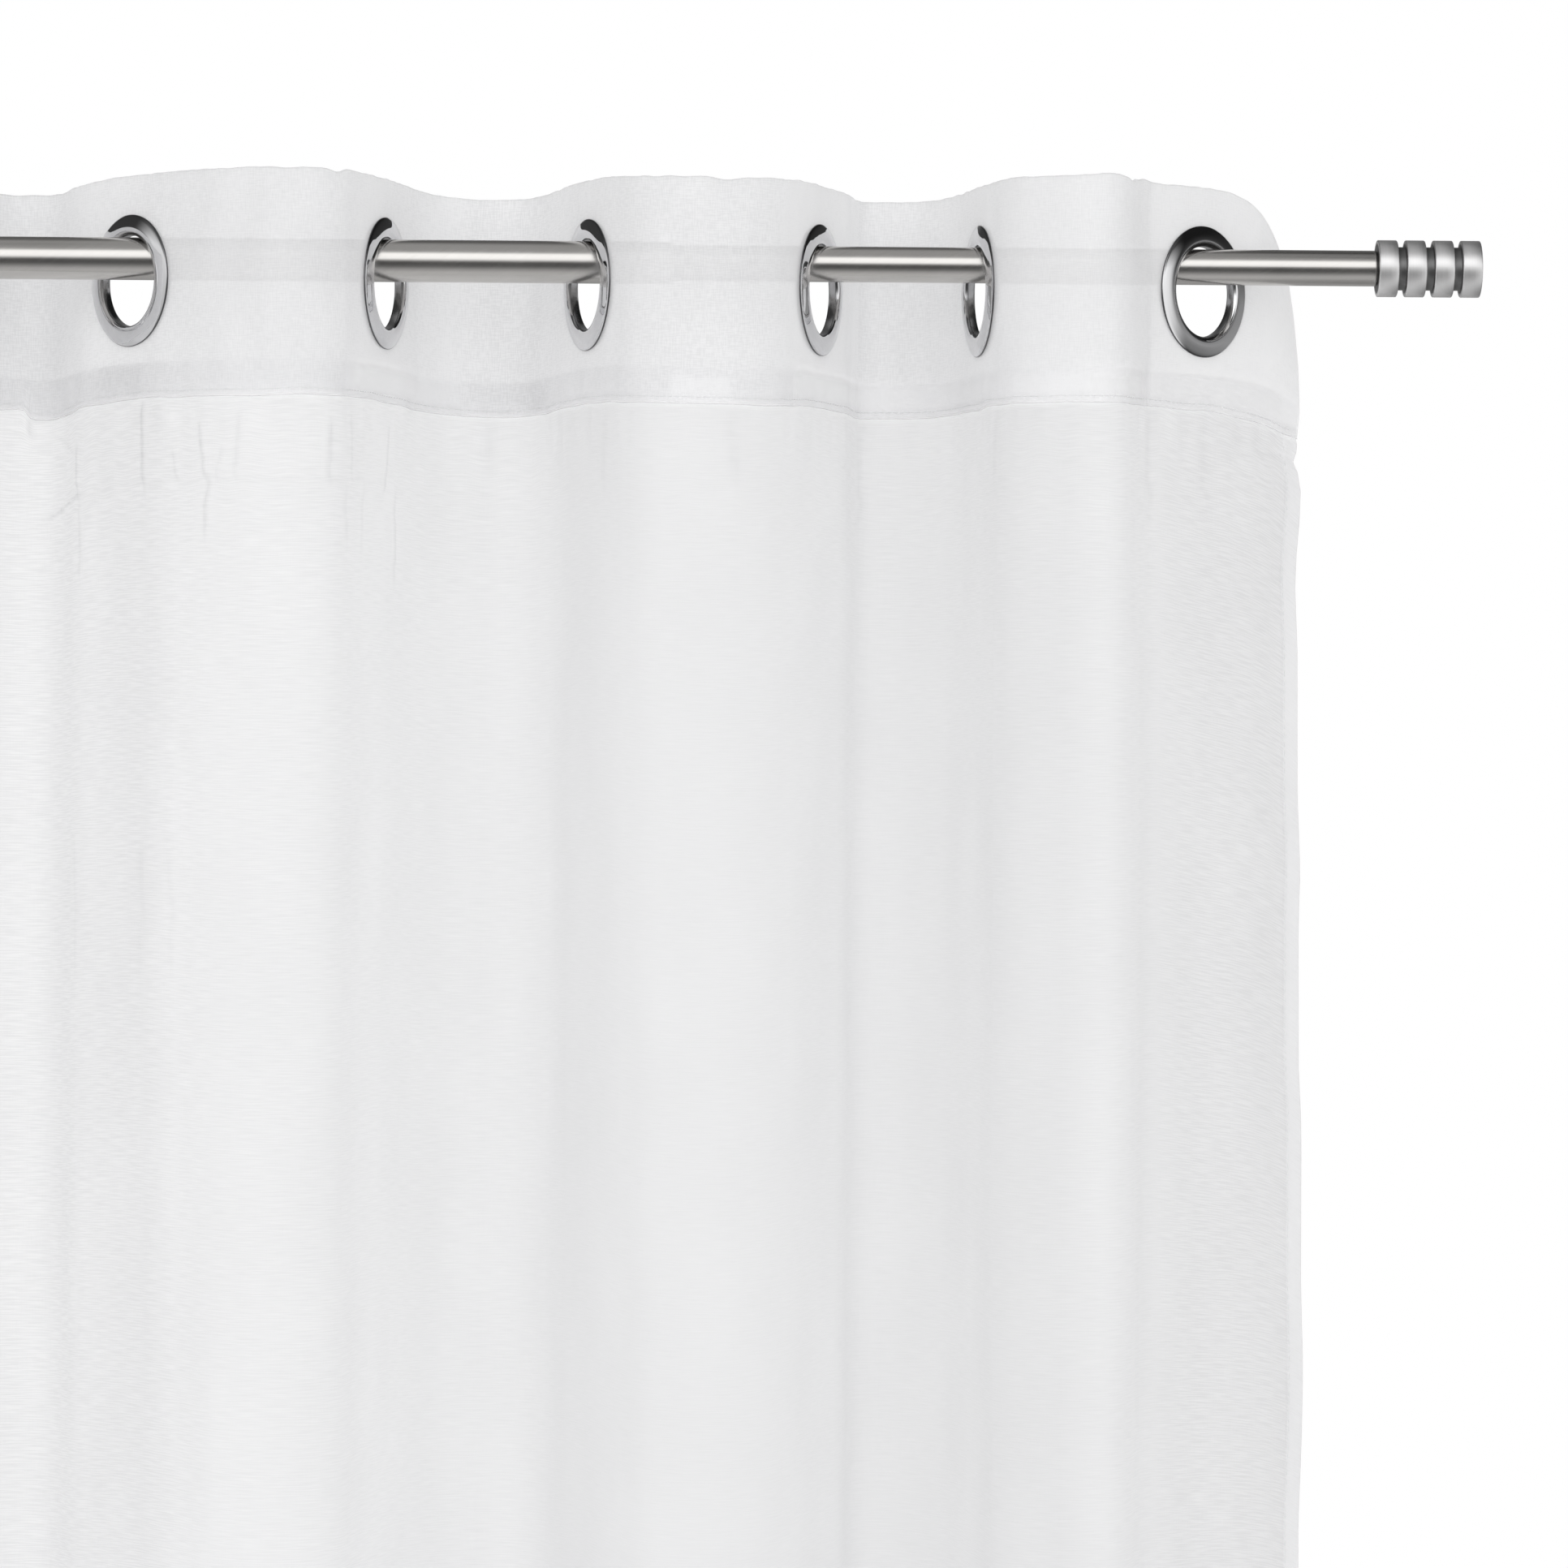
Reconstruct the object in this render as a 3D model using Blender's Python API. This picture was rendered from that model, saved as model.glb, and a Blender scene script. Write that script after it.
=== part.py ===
"""A sheer eyelet curtain hanging in waves on a telescopic rod with grooved finials.

The rod runs along X with its middle at the origin. The front of the cloth faces -Y, and +Z is up.
Lengths are in metres; a point of the cloth is found by its place along the cut width and its depth
below the top edge.
"""

import math

import bmesh
import bpy
import numpy as np

MM = 0.001
GAP = 0.3 * MM

# Cloth, as cut and hemmed
CURTAIN_DROP = 2450 * MM
EYELET_PITCH = 180 * MM
SIDE_MARGIN = 70 * MM
HEADING_DEPTH = 100 * MM
EYELET_DEPTH = 47 * MM
HEADING_THICKNESS = 1.4 * MM
PANEL_THICKNESS = 1.0 * MM
HEM_THICKNESS = 1.8 * MM
SIDE_HEM = 12 * MM
BOTTOM_HEM = 60 * MM
HEM_STEP = 2 * MM

# Waves, from the left: where each eyelet sits along the rod, how far its cloth turns from the rod's line,
# where the nose of the wave on its right lies between this eyelet and the next, how far that wave's cloth
# sags between them, and how far this line of the cloth has wandered at the bottom
COLUMNS = ("x_mm", "turn_deg", "nose", "sag_mm", "sway_mm")
EYELETS = (
    (-338, 47, 0.51, 2.0, -6),
    (-238, 68, 0.48, 3.0, 3),
    (-141.5, 52, 0.62, 1.0, -2),
    (-29, 72, 0.54, 3.0, -5),
    (62.5, 70, 0.47, 3.0, 4),
    (165.5, 69, 0.44, 1.0, -3),
    (238, 80, 0.47, 0.5, 4),
    (337.5, 45, 0.50, 0.0, 5),
)
FIRST_TURNS_TO_FRONT = True
RELAXED_TURN = math.radians(68)
RELAX_START = 0.7
FLAT_HALF = 31 * MM
NOSE_FULLNESS = 0.6
FLAT_FULLNESS = 0.42
FLAP_CURL = math.radians(5)
CORNER_CURL = math.radians(12)
CORNER_FADE = 1.4
CORNER_DROOP = 32 * MM
SIDE_DROOP = 9 * MM
DROOP_POWER = 3

# How finely the cloth is divided
CORNER_STEP = 5 * MM
WAVE_STEPS = 10
FLAP_STEPS = 4
CURVE_STEPS = 24
HEADING_ROWS = (0.0, 0.10, 0.22, 0.70, 1.0)
PANEL_ROWS = 11
PANEL_ROW_SPREAD = 1.2

# Eyelets: a pressed ring in front, its barrel clinched over a washer behind the cloth
EYELET_OUTER = 59 * MM
EYELET_HOLE = 40.4 * MM
EYELET_CREST = 2.2 * MM
LIP_THICKNESS = 0.6 * MM
BARREL_WALL = 1.1 * MM
CLINCH_WIDTH = 2.7 * MM
CLINCH_THICKNESS = 0.6 * MM
WASHER_OUTER = 57 * MM
WASHER_THICKNESS = 1.0 * MM
CLOTH_HOLE_CLEARANCE = 0.5 * MM
EYELET_SIDES = 24

# Telescopic rod
OUTER_TUBE = 19.0 * MM
OUTER_BORE = 16.6 * MM
INNER_TUBE = 16.0 * MM
INNER_BORE = 14.0 * MM
TUBE_STEP_X = 100 * MM
TUBE_OVERLAP = 120 * MM
ROD_HALF = 416 * MM
TUBE_SIDES = 36

# Finials
FINIAL_DIAMETER = 25.5 * MM
FINIAL_GROOVE_DIAMETER = 19.4 * MM
FINIAL_RINGS = 4
FINIAL_RING = 8.8 * MM
FINIAL_GROOVE = 3.7 * MM
FINIAL_CHAMFER = 0.7 * MM
SPIGOT_LENGTH = 18 * MM
FINIAL_SIDES = 28

SHARP_ANGLE = math.radians(35)


def clear_scene():
    for old in list(bpy.data.objects):
        bpy.data.objects.remove(old, do_unlink=True)


def make_material(name, colour, roughness, metallic):
    material = bpy.data.materials.new(name)
    material.use_nodes = True
    shader = material.node_tree.nodes["Principled BSDF"]
    shader.inputs["Base Color"].default_value = (*colour, 1.0)
    shader.inputs["Roughness"].default_value = roughness
    shader.inputs["Metallic"].default_value = metallic
    return material


def make_object(name, mesh, material, parent):
    """Puts a mesh in the scene, shaded smooth except across its sharp edges."""
    obj = bpy.data.objects.new(name, mesh)
    bpy.context.scene.collection.objects.link(obj)
    obj.parent = parent
    if material:
        mesh.materials.append(material)
    mesh.shade_smooth()
    mesh.set_sharp_from_angle(angle=SHARP_ANGLE)
    return obj


def make_empty(name):
    empty = bpy.data.objects.new(name, None)
    bpy.context.scene.collection.objects.link(empty)
    return empty


# Turned pieces

def turned_mesh(name, outline, sides):
    """Spins a closed outline of (place along X, radius) points about the X axis."""
    bm = bmesh.new()
    corners = [bm.verts.new((along, 0, radius)) for along, radius in outline]
    open_ended = outline[0][1] == 0 and outline[-1][1] == 0
    pairs = list(zip(corners, corners[1:]))
    if not open_ended:
        pairs.append((corners[-1], corners[0]))
    edges = [bm.edges.new(pair) for pair in pairs]
    bmesh.ops.spin(
        bm, geom=corners + edges, cent=(0, 0, 0), axis=(1, 0, 0), angle=2 * math.pi, steps=sides
    )
    bmesh.ops.remove_doubles(bm, verts=bm.verts, dist=GAP / 100)
    bmesh.ops.recalc_face_normals(bm, faces=bm.faces)
    mesh = bpy.data.meshes.new(name)
    bm.to_mesh(mesh)
    bm.free()
    return mesh


def tube_outline(start, end, diameter, bore):
    return [(start, diameter / 2), (end, diameter / 2), (end, bore / 2), (start, bore / 2)]


def finial_outline(bore):
    """The spigot that fits a tube's bore, then the rings with their bevelled edges and the grooves."""
    outer = FINIAL_DIAMETER / 2
    groove = FINIAL_GROOVE_DIAMETER / 2
    spigot = bore / 2 - GAP
    points = [(-SPIGOT_LENGTH, 0), (-SPIGOT_LENGTH, spigot), (GAP, spigot)]
    start = GAP
    for ring in range(FINIAL_RINGS):
        end = start + FINIAL_RING
        if ring > 0:
            points.append((start, groove))
        points += [
            (start, outer - FINIAL_CHAMFER),
            (start + FINIAL_CHAMFER, outer),
            (end - FINIAL_CHAMFER, outer),
            (end, outer - FINIAL_CHAMFER),
        ]
        if ring < FINIAL_RINGS - 1:
            points.append((end, groove))
        else:
            points.append((end, 0))
        start = end + FINIAL_GROOVE
    return points


def washer_start():
    return HEADING_THICKNESS / 2 + GAP


def eyelet_front_outline():
    """From the flat rim up over the domed flange, down the throat and the barrel, to the clinched end."""
    outer = EYELET_OUTER / 2
    hole = EYELET_HOLE / 2
    barrel = hole + BARREL_WALL
    base = HEADING_THICKNESS / 2 + GAP
    crest = base + EYELET_CREST
    clinch = -(washer_start() + WASHER_THICKNESS + GAP)
    flange = outer - hole
    return [
        (base, outer),
        (base + LIP_THICKNESS, outer),
        (base + 0.78 * EYELET_CREST, hole + 0.72 * flange),
        (crest, hole + 0.38 * flange),
        (base + 0.62 * EYELET_CREST, hole + 0.10 * flange),
        (base - LIP_THICKNESS, hole),
        (clinch, hole),
        (clinch - CLINCH_THICKNESS, hole + CLINCH_THICKNESS),
        (clinch - CLINCH_THICKNESS, hole + CLINCH_WIDTH),
        (clinch, hole + CLINCH_WIDTH),
        (clinch, barrel),
        (base, barrel),
    ]


def eyelet_back_outline():
    outer = WASHER_OUTER / 2
    inner = EYELET_HOLE / 2 + BARREL_WALL + CLOTH_HOLE_CLEARANCE
    start = -washer_start()
    end = start - WASHER_THICKNESS
    return [
        (start, inner),
        (start, outer),
        (start - WASHER_THICKNESS / 2, outer),
        (end, outer - 2 * WASHER_THICKNESS),
        (end, inner),
    ]


# Where the eyelets hang

def eyelet_table():
    return [dict(zip(COLUMNS, row)) for row in EYELETS]


def eyelet_side(index):
    """-1 where the cloth crosses the rod towards the front, +1 where it goes to the back."""
    goes_to_front = (index % 2 == 0) == FIRST_TURNS_TO_FRONT
    return -1 if goes_to_front else 1


def hanging_height(tube_radius, turn):
    """Height of an eyelet's centre when its throat rests on the tube, a hair apart."""
    clear = tube_radius + GAP
    highest = clear - EYELET_HOLE / 2
    facet = math.cos(math.pi / EYELET_SIDES)
    for along, radius in eyelet_front_outline():
        if radius > EYELET_HOLE / 2 + BARREL_WALL:
            continue
        for step in range(-30, 31):
            angle = math.radians(step * 2)
            across = radius * math.sin(angle) * math.sin(turn) - along * math.cos(turn)
            if abs(across) >= clear:
                continue
            rod_top = math.sqrt(clear**2 - across**2)
            highest = max(highest, rod_top - radius * facet * math.cos(angle))
    return highest


def eyelet_heights():
    heights = []
    for row in eyelet_table():
        diameter = OUTER_TUBE if row["x_mm"] * MM < TUBE_STEP_X else INNER_TUBE
        heights.append(hanging_height(diameter / 2, math.radians(row["turn_deg"])))
    return heights


# The line of the cloth seen from above

def ease(value):
    value = min(max(value, 0.0), 1.0)
    return value * value * (3 - 2 * value)


def bezier(points, steps):
    """Points along a cubic curve, leaving out its first one."""
    t = np.linspace(0, 1, steps + 1)[1:, None]
    a, b, c, d = (np.array(point) for point in points)
    return a * (1 - t) ** 3 + 3 * b * t * (1 - t) ** 2 + 3 * c * t**2 * (1 - t) + d * t**3


def curve_length(points):
    return float(np.linalg.norm(np.diff(points, axis=0), axis=1).sum())


def wave_curve(start, start_way, end, end_way, nose):
    """Two smooth halves from one flat stretch to the nose and on to the next flat stretch."""
    first = FLAT_FULLNESS * math.dist(start, nose)
    second = FLAT_FULLNESS * math.dist(nose, end)
    nose_reach = NOSE_FULLNESS * (end[0] - start[0]) / 2
    before = (nose[0] - nose_reach, nose[1])
    after = (nose[0] + nose_reach, nose[1])
    halves = [
        bezier([start, start + first * start_way, before, nose], CURVE_STEPS),
        bezier([nose, after, end - second * end_way, end], CURVE_STEPS),
    ]
    return np.vstack([start[None], *halves])


def fitted_wave(start, start_way, end, end_way, nose_x, side):
    """The wave whose nose is as deep as the cloth between the two flat stretches allows."""
    cloth = EYELET_PITCH - 2 * FLAT_HALF
    shallow, deep = 0.0, EYELET_PITCH
    for _ in range(30):
        depth = (shallow + deep) / 2
        curve = wave_curve(start, start_way, end, end_way, np.array((nose_x, side * depth)))
        if curve_length(curve) < cloth:
            shallow = depth
        else:
            deep = depth
    return curve


def corner_share(depth):
    """How much of the two top corners' curl and droop is left at this depth."""
    return max(0.0, 1 - depth / HEADING_DEPTH) ** CORNER_FADE


def flap_curve(start, way, curl):
    """The free end past the last eyelet, turning by curl on its way to the side edge."""
    length = SIDE_MARGIN - FLAT_HALF
    heading = math.atan2(way[1], way[0])
    points = [start]
    for step in range(CURVE_STEPS):
        angle = heading + curl * (step + 0.5) / CURVE_STEPS
        stride = length / CURVE_STEPS
        points.append(points[-1] + stride * np.array((math.cos(angle), math.sin(angle))))
    return np.array(points)


def cloth_line(depth):
    """Points of the cloth's line at this depth below the top edge, with their places along the cut width."""
    relaxed = ease((depth - RELAX_START) / (CURTAIN_DROP - RELAX_START))
    curl = FLAP_CURL * (1 - relaxed) + CORNER_CURL * corner_share(depth)
    centres, ways = [], []
    for index, row in enumerate(eyelet_table()):
        turn = math.radians(row["turn_deg"])
        turn = eyelet_side(index) * (turn + (RELAXED_TURN - turn) * relaxed)
        centres.append(np.array(((row["x_mm"] + row["sway_mm"] * relaxed) * MM, 0.0)))
        ways.append(np.array((math.cos(turn), math.sin(turn))))
    before = [centre - FLAT_HALF * way for centre, way in zip(centres, ways)]
    after = [centre + FLAT_HALF * way for centre, way in zip(centres, ways)]
    pieces = [flap_curve(before[0], -ways[0], eyelet_side(0) * curl)[::-1], after[0][None]]
    for index, row in enumerate(eyelet_table()[:-1]):
        nose_x = centres[index][0] + row["nose"] * (centres[index + 1][0] - centres[index][0])
        wave = fitted_wave(
            after[index],
            ways[index],
            before[index + 1],
            ways[index + 1],
            nose_x,
            eyelet_side(index),
        )
        pieces += [wave[1:], after[index + 1][None]]
    pieces.append(flap_curve(after[-1], ways[-1], eyelet_side(len(ways) - 1) * curl)[1:])
    points = np.vstack(pieces)
    steps = np.linalg.norm(np.diff(points, axis=0), axis=1)
    along = np.concatenate([[0], np.cumsum(steps)])
    return points, along * cut_width() / along[-1]


def cut_width():
    return (len(EYELETS) - 1) * EYELET_PITCH + 2 * SIDE_MARGIN


def eyelet_places():
    return [SIDE_MARGIN + EYELET_PITCH * index for index in range(len(EYELETS))]


def column_places():
    """Places along the cut width where the cloth gets a column of points, closer where it bends more."""
    points, along = cloth_line(HEADING_DEPTH)
    steps = np.diff(points, axis=0)
    angles = np.unwrap(np.arctan2(steps[:, 1], steps[:, 0]))
    bend = np.concatenate([[0], np.cumsum(np.abs(np.diff(angles)))])
    bend = np.append(bend, bend[-1])
    places = [0.0, CORNER_STEP, SIDE_HEM - HEM_STEP, SIDE_HEM]
    last_flap = cut_width() - SIDE_MARGIN + FLAT_HALF
    flap_start = SIDE_MARGIN - FLAT_HALF
    places += list(np.linspace(SIDE_HEM, flap_start, FLAP_STEPS)[1:])
    for centre in eyelet_places()[:-1]:
        start, end = centre + FLAT_HALF, centre + EYELET_PITCH - FLAT_HALF
        inside = (along > start) & (along < end)
        spots = np.concatenate([[start], along[inside], [end]])
        turned = np.interp(spots, along, bend)
        measure = (spots - start) / (end - start) + (turned - turned[0]) / (turned[-1] - turned[0])
        places += list(np.interp(np.linspace(0, 2, WAVE_STEPS + 1), measure, spots))
    places += list(np.linspace(last_flap, cut_width() - SIDE_HEM, FLAP_STEPS))
    places += [cut_width() - SIDE_HEM + HEM_STEP, cut_width() - CORNER_STEP, cut_width()]
    return places


def hanging_offset(place, depth, heights):
    """Height of the cloth's eyelet line above the rod's axis at this place along the cut width."""
    centres = eyelet_places()
    height = float(np.interp(place, centres, heights))
    wave = (place - SIDE_MARGIN) / EYELET_PITCH
    index = int(math.floor(wave))
    if 0 <= index < len(EYELETS) - 1:
        sag = eyelet_table()[index]["sag_mm"] * MM
        height -= sag * math.sin(math.pi * (wave - index)) ** 2
    past_eyelet = max(abs(place - cut_width() / 2) - (cut_width() / 2 - SIDE_MARGIN), 0)
    droop = SIDE_DROOP + CORNER_DROOP * corner_share(depth)
    return height - droop * (past_eyelet / SIDE_MARGIN) ** DROOP_POWER


# Cloth

def sheet_mesh(name, depths, places, heights):
    """A grid of points on the middle of the cloth, from the given depths and places along its width."""
    bm = bmesh.new()
    rows = []
    for depth in depths:
        points, along = cloth_line(depth)
        xs = np.interp(places, along, points[:, 0])
        ys = np.interp(places, along, points[:, 1])
        row = []
        for place, x, y in zip(places, xs, ys):
            z = hanging_offset(place, depth, heights) + EYELET_DEPTH - depth
            row.append(bm.verts.new((x, y, z)))
        rows.append(row)
    for upper, lower in zip(rows, rows[1:]):
        for left in range(len(places) - 1):
            bm.faces.new((upper[left], lower[left], lower[left + 1], upper[left + 1]))
    mesh = bpy.data.meshes.new(name)
    bm.to_mesh(mesh)
    bm.free()
    return mesh


def thicken(obj, thickness):
    solidify = obj.modifiers.new("cloth thickness", "SOLIDIFY")
    solidify.thickness = thickness
    solidify.offset = 0
    solidify.use_even_offset = True
    return solidify


def eyelet_angle(index):
    turn = math.radians(EYELETS[index][COLUMNS.index("turn_deg")])
    return eyelet_side(index) * turn - math.pi / 2


def eyelet_centre(index, heights):
    return (EYELETS[index][COLUMNS.index("x_mm")] * MM, 0, heights[index])


def hole_cutters(heights, parent):
    """Round cutters for the eyelet holes, one for each, in a single hidden object."""
    radius = EYELET_HOLE / 2 + BARREL_WALL + CLOTH_HOLE_CLEARANCE
    half = FLAT_HALF / 4
    outline = [(-half, 0), (-half, radius), (half, radius), (half, 0)]
    pieces = []
    for index in range(len(EYELETS)):
        piece = make_object("cutter_piece", turned_mesh("cutter", outline, EYELET_SIDES), None, parent)
        piece.location = eyelet_centre(index, heights)
        piece.rotation_euler = (0, 0, eyelet_angle(index))
        pieces.append(piece)
    bpy.context.view_layer.update()
    bm = bmesh.new()
    for piece in pieces:
        piece.data.transform(piece.matrix_world)
        bm.from_mesh(piece.data)
        bpy.data.objects.remove(piece)
    mesh = bpy.data.meshes.new("eyelet_hole_cutters")
    bm.to_mesh(mesh)
    bm.free()
    cutters = make_object("eyelet_hole_cutters", mesh, None, parent)
    cutters.hide_render = True
    cutters.display_type = "WIRE"
    return cutters


def make_heading(heights, material, parent):
    depths = [share * HEADING_DEPTH for share in HEADING_ROWS]
    mesh = sheet_mesh("heading", depths, column_places(), heights)
    heading = make_object("heading", mesh, material, parent)
    thicken(heading, HEADING_THICKNESS)
    holes = heading.modifiers.new("eyelet holes", "BOOLEAN")
    holes.operation = "DIFFERENCE"
    holes.solver = "EXACT"
    holes.object = hole_cutters(heights, parent)
    return heading


def panel_depths():
    """Closer rows at the top, then one just above the bottom hem, its line and the bottom edge."""
    top = HEADING_DEPTH + GAP
    hem_line = CURTAIN_DROP - BOTTOM_HEM
    shares = [(row / PANEL_ROWS) ** PANEL_ROW_SPREAD for row in range(PANEL_ROWS + 1)]
    spread = [top + (hem_line - HEM_STEP - top) * share for share in shares]
    return spread + [hem_line, CURTAIN_DROP]


def make_panel(heights, material, parent):
    """The sheer cloth under the heading, thicker along its turned side hems and bottom hem."""
    depths, places = panel_depths(), column_places()
    panel = make_object("panel", sheet_mesh("panel", depths, places, heights), material, parent)
    hems = panel.vertex_groups.new(name="hems")
    for row, depth in enumerate(depths):
        for column, place in enumerate(places):
            from_side = min(place, cut_width() - place)
            in_side_hem = from_side < SIDE_HEM - HEM_STEP / 2
            in_bottom_hem = depth > CURTAIN_DROP - BOTTOM_HEM - HEM_STEP / 2
            if in_side_hem or in_bottom_hem:
                hems.add([row * len(places) + column], 1.0, "REPLACE")
    solidify = thicken(panel, HEM_THICKNESS)
    solidify.vertex_group = "hems"
    solidify.thickness_vertex_group = PANEL_THICKNESS / HEM_THICKNESS
    return panel


# Whole pieces

def make_eyelets(heights, material, parent):
    front = turned_mesh("eyelet_front", eyelet_front_outline(), EYELET_SIDES)
    back = turned_mesh("eyelet_back", eyelet_back_outline(), EYELET_SIDES)
    for index in range(len(EYELETS)):
        for mesh, half in ((front, "front"), (back, "back")):
            slot = material if not mesh.materials else None
            ring = make_object(f"eyelet_{index + 1}_{half}", mesh, slot, parent)
            ring.location = eyelet_centre(index, heights)
            ring.rotation_euler = (0, 0, eyelet_angle(index))


def make_rod(tube_material, finial_material, parent):
    outer = tube_outline(-ROD_HALF, TUBE_STEP_X, OUTER_TUBE, OUTER_BORE)
    inner = tube_outline(TUBE_STEP_X - TUBE_OVERLAP, ROD_HALF, INNER_TUBE, INNER_BORE)
    make_object("rod_outer", turned_mesh("rod_outer", outer, TUBE_SIDES), tube_material, parent)
    make_object("rod_inner", turned_mesh("rod_inner", inner, TUBE_SIDES), tube_material, parent)
    for name, bore, end_x, turn in (
        ("finial_left", OUTER_BORE, -ROD_HALF, math.pi),
        ("finial_right", INNER_BORE, ROD_HALF, 0),
    ):
        mesh = turned_mesh(name, finial_outline(bore), FINIAL_SIDES)
        finial = make_object(name, mesh, finial_material, parent)
        finial.location = (end_x, 0, 0)
        finial.rotation_euler = (0, 0, turn)


def main():
    clear_scene()
    sheer = make_material("sheer cloth", (0.90, 0.90, 0.90), 0.9, 0.0)
    doubled = make_material("heading cloth", (0.84, 0.84, 0.85), 0.9, 0.0)
    chrome = make_material("polished eyelet metal", (0.78, 0.78, 0.79), 0.12, 1.0)
    steel = make_material("brushed rod steel", (0.55, 0.53, 0.51), 0.35, 1.0)
    light_metal = make_material("brushed finial metal", (0.66, 0.65, 0.65), 0.4, 1.0)
    curtain = make_empty("curtain")
    rod = make_empty("rod")
    heights = eyelet_heights()
    make_rod(steel, light_metal, rod)
    make_eyelets(heights, chrome, curtain)
    make_heading(heights, doubled, curtain)
    make_panel(heights, sheer, curtain)


main()
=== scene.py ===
# %% [markdown]
# # A sheer eyelet curtain on a telescopic rod
#
# The real curtain has two kinds of cloth: a thin crepe for the drop, and a doubled strip along the top that
# holds eight pressed metal eyelets. A rod of two tubes runs through the eyelets, and a turned finial closes
# each of its ends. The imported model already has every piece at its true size, as plain solids. This lesson
# loads it and then gives each piece the surface that a buyer would see and feel.

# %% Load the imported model
import functools
import math

import bmesh
import bpy
import numpy as np
from mathutils import Matrix, Vector, noise


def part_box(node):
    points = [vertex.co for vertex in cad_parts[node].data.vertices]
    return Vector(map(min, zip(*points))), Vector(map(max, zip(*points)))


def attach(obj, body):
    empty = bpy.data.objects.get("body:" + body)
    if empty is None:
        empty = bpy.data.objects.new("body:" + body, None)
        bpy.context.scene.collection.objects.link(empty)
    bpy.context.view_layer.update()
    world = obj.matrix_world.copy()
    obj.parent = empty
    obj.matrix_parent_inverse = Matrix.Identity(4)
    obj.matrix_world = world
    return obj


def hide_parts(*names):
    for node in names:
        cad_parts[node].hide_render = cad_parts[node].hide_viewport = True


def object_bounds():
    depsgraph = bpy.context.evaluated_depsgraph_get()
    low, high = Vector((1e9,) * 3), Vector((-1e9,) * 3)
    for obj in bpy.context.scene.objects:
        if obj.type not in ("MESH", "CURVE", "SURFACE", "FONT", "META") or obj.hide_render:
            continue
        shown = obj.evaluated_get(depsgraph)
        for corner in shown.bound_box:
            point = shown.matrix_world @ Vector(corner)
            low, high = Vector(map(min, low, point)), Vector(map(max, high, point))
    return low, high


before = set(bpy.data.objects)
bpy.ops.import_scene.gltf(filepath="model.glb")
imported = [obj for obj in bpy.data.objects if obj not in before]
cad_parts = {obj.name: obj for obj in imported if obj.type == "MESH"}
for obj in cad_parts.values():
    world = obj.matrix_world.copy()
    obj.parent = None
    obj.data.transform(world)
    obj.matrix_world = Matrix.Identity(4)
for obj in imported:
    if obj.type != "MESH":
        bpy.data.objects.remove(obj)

MM = 0.001
cad_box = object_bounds()
print("packed nodes:", len(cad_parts))

# %% [markdown]
# ## The camera
#
# The photograph looks straight at the top right corner of the curtain with a long lens, from a little to the
# left of square. A camera at one distance from the point in the middle of the picture is easy to reason
# about: one turn to the side and one small roll. Blender could also track an empty with a constraint, but
# plain numbers stay readable and nothing has to be evaluated later.

# %% Camera
PICTURE_MIDDLE = Vector((151 * MM, 0, -233 * MM))
CAMERA_DISTANCE = 3.0
PICTURE_WIDTH_AT_ROD = 0.7025
CAMERA_TURN = math.radians(2)
CAMERA_ROLL = math.radians(0.3)
SENSOR_WIDTH = 36

camera_data = bpy.data.cameras.new("camera")
camera_data.sensor_width = SENSOR_WIDTH
camera_data.lens = SENSOR_WIDTH * CAMERA_DISTANCE / PICTURE_WIDTH_AT_ROD
camera = bpy.data.objects.new("camera", camera_data)
bpy.context.scene.collection.objects.link(camera)
looking = Vector((math.sin(CAMERA_TURN), math.cos(CAMERA_TURN), 0))
stand = Matrix.Translation(PICTURE_MIDDLE - CAMERA_DISTANCE * looking)
level = Matrix.Rotation(-CAMERA_TURN, 4, "Z") @ Matrix.Rotation(math.pi / 2, 4, "X")
camera.matrix_world = stand @ level @ Matrix.Rotation(CAMERA_ROLL, 4, "Z")
bpy.context.scene.camera = camera
print("lens in mm:", round(camera_data.lens, 1))

# %% [markdown]
# ## Helpers for nodes
#
# Node trees are long when they are written out socket by socket. These helpers keep them short. One plugs in
# or sets inputs by their names, one adds any node, and the others make what nearly every material needs:
# sums, mixes, grey ramps, soft steps, noise and bump.

# %% Node helpers
def plug(tree, value, socket):
    """Links the value into the socket if it is a socket itself, and sets it otherwise."""
    if isinstance(value, bpy.types.NodeSocket):
        tree.links.new(value, socket)
    else:
        socket.default_value = value


def plug_all(tree, node, **inputs):
    """Plugs in inputs by their names, with _ for a space."""
    for name, value in inputs.items():
        plug(tree, value, node.inputs[name.replace("_", " ")])


def add_node(tree, kind, settings=None, **inputs):
    made = tree.nodes.new(kind)
    for name, value in (settings or {}).items():
        setattr(made, name, value)
    plug_all(tree, made, **inputs)
    return made


def sum_node(tree, operation, *values, clamp=False):
    """One Math node; returns its output."""
    made = add_node(tree, "ShaderNodeMath", {"operation": operation, "use_clamp": clamp})
    for value, socket in zip(values, made.inputs):
        plug(tree, value, socket)
    return made.outputs[0]


def mix_colour(tree, factor, first, second):
    """A colour Mix node, whose colour sockets are its seventh and eighth inputs."""
    made = add_node(tree, "ShaderNodeMix", {"data_type": "RGBA"})
    for value, index in ((factor, 0), (first, 6), (second, 7)):
        plug(tree, value, made.inputs[index])
    return made.outputs[2]


def mix_value(tree, factor, first, second):
    """A Mix node for plain values, whose value sockets are its third and fourth inputs."""
    made = add_node(tree, "ShaderNodeMix", {"data_type": "FLOAT"})
    for value, index in ((factor, 0), (first, 2), (second, 3)):
        plug(tree, value, made.inputs[index])
    return made.outputs[0]


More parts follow.
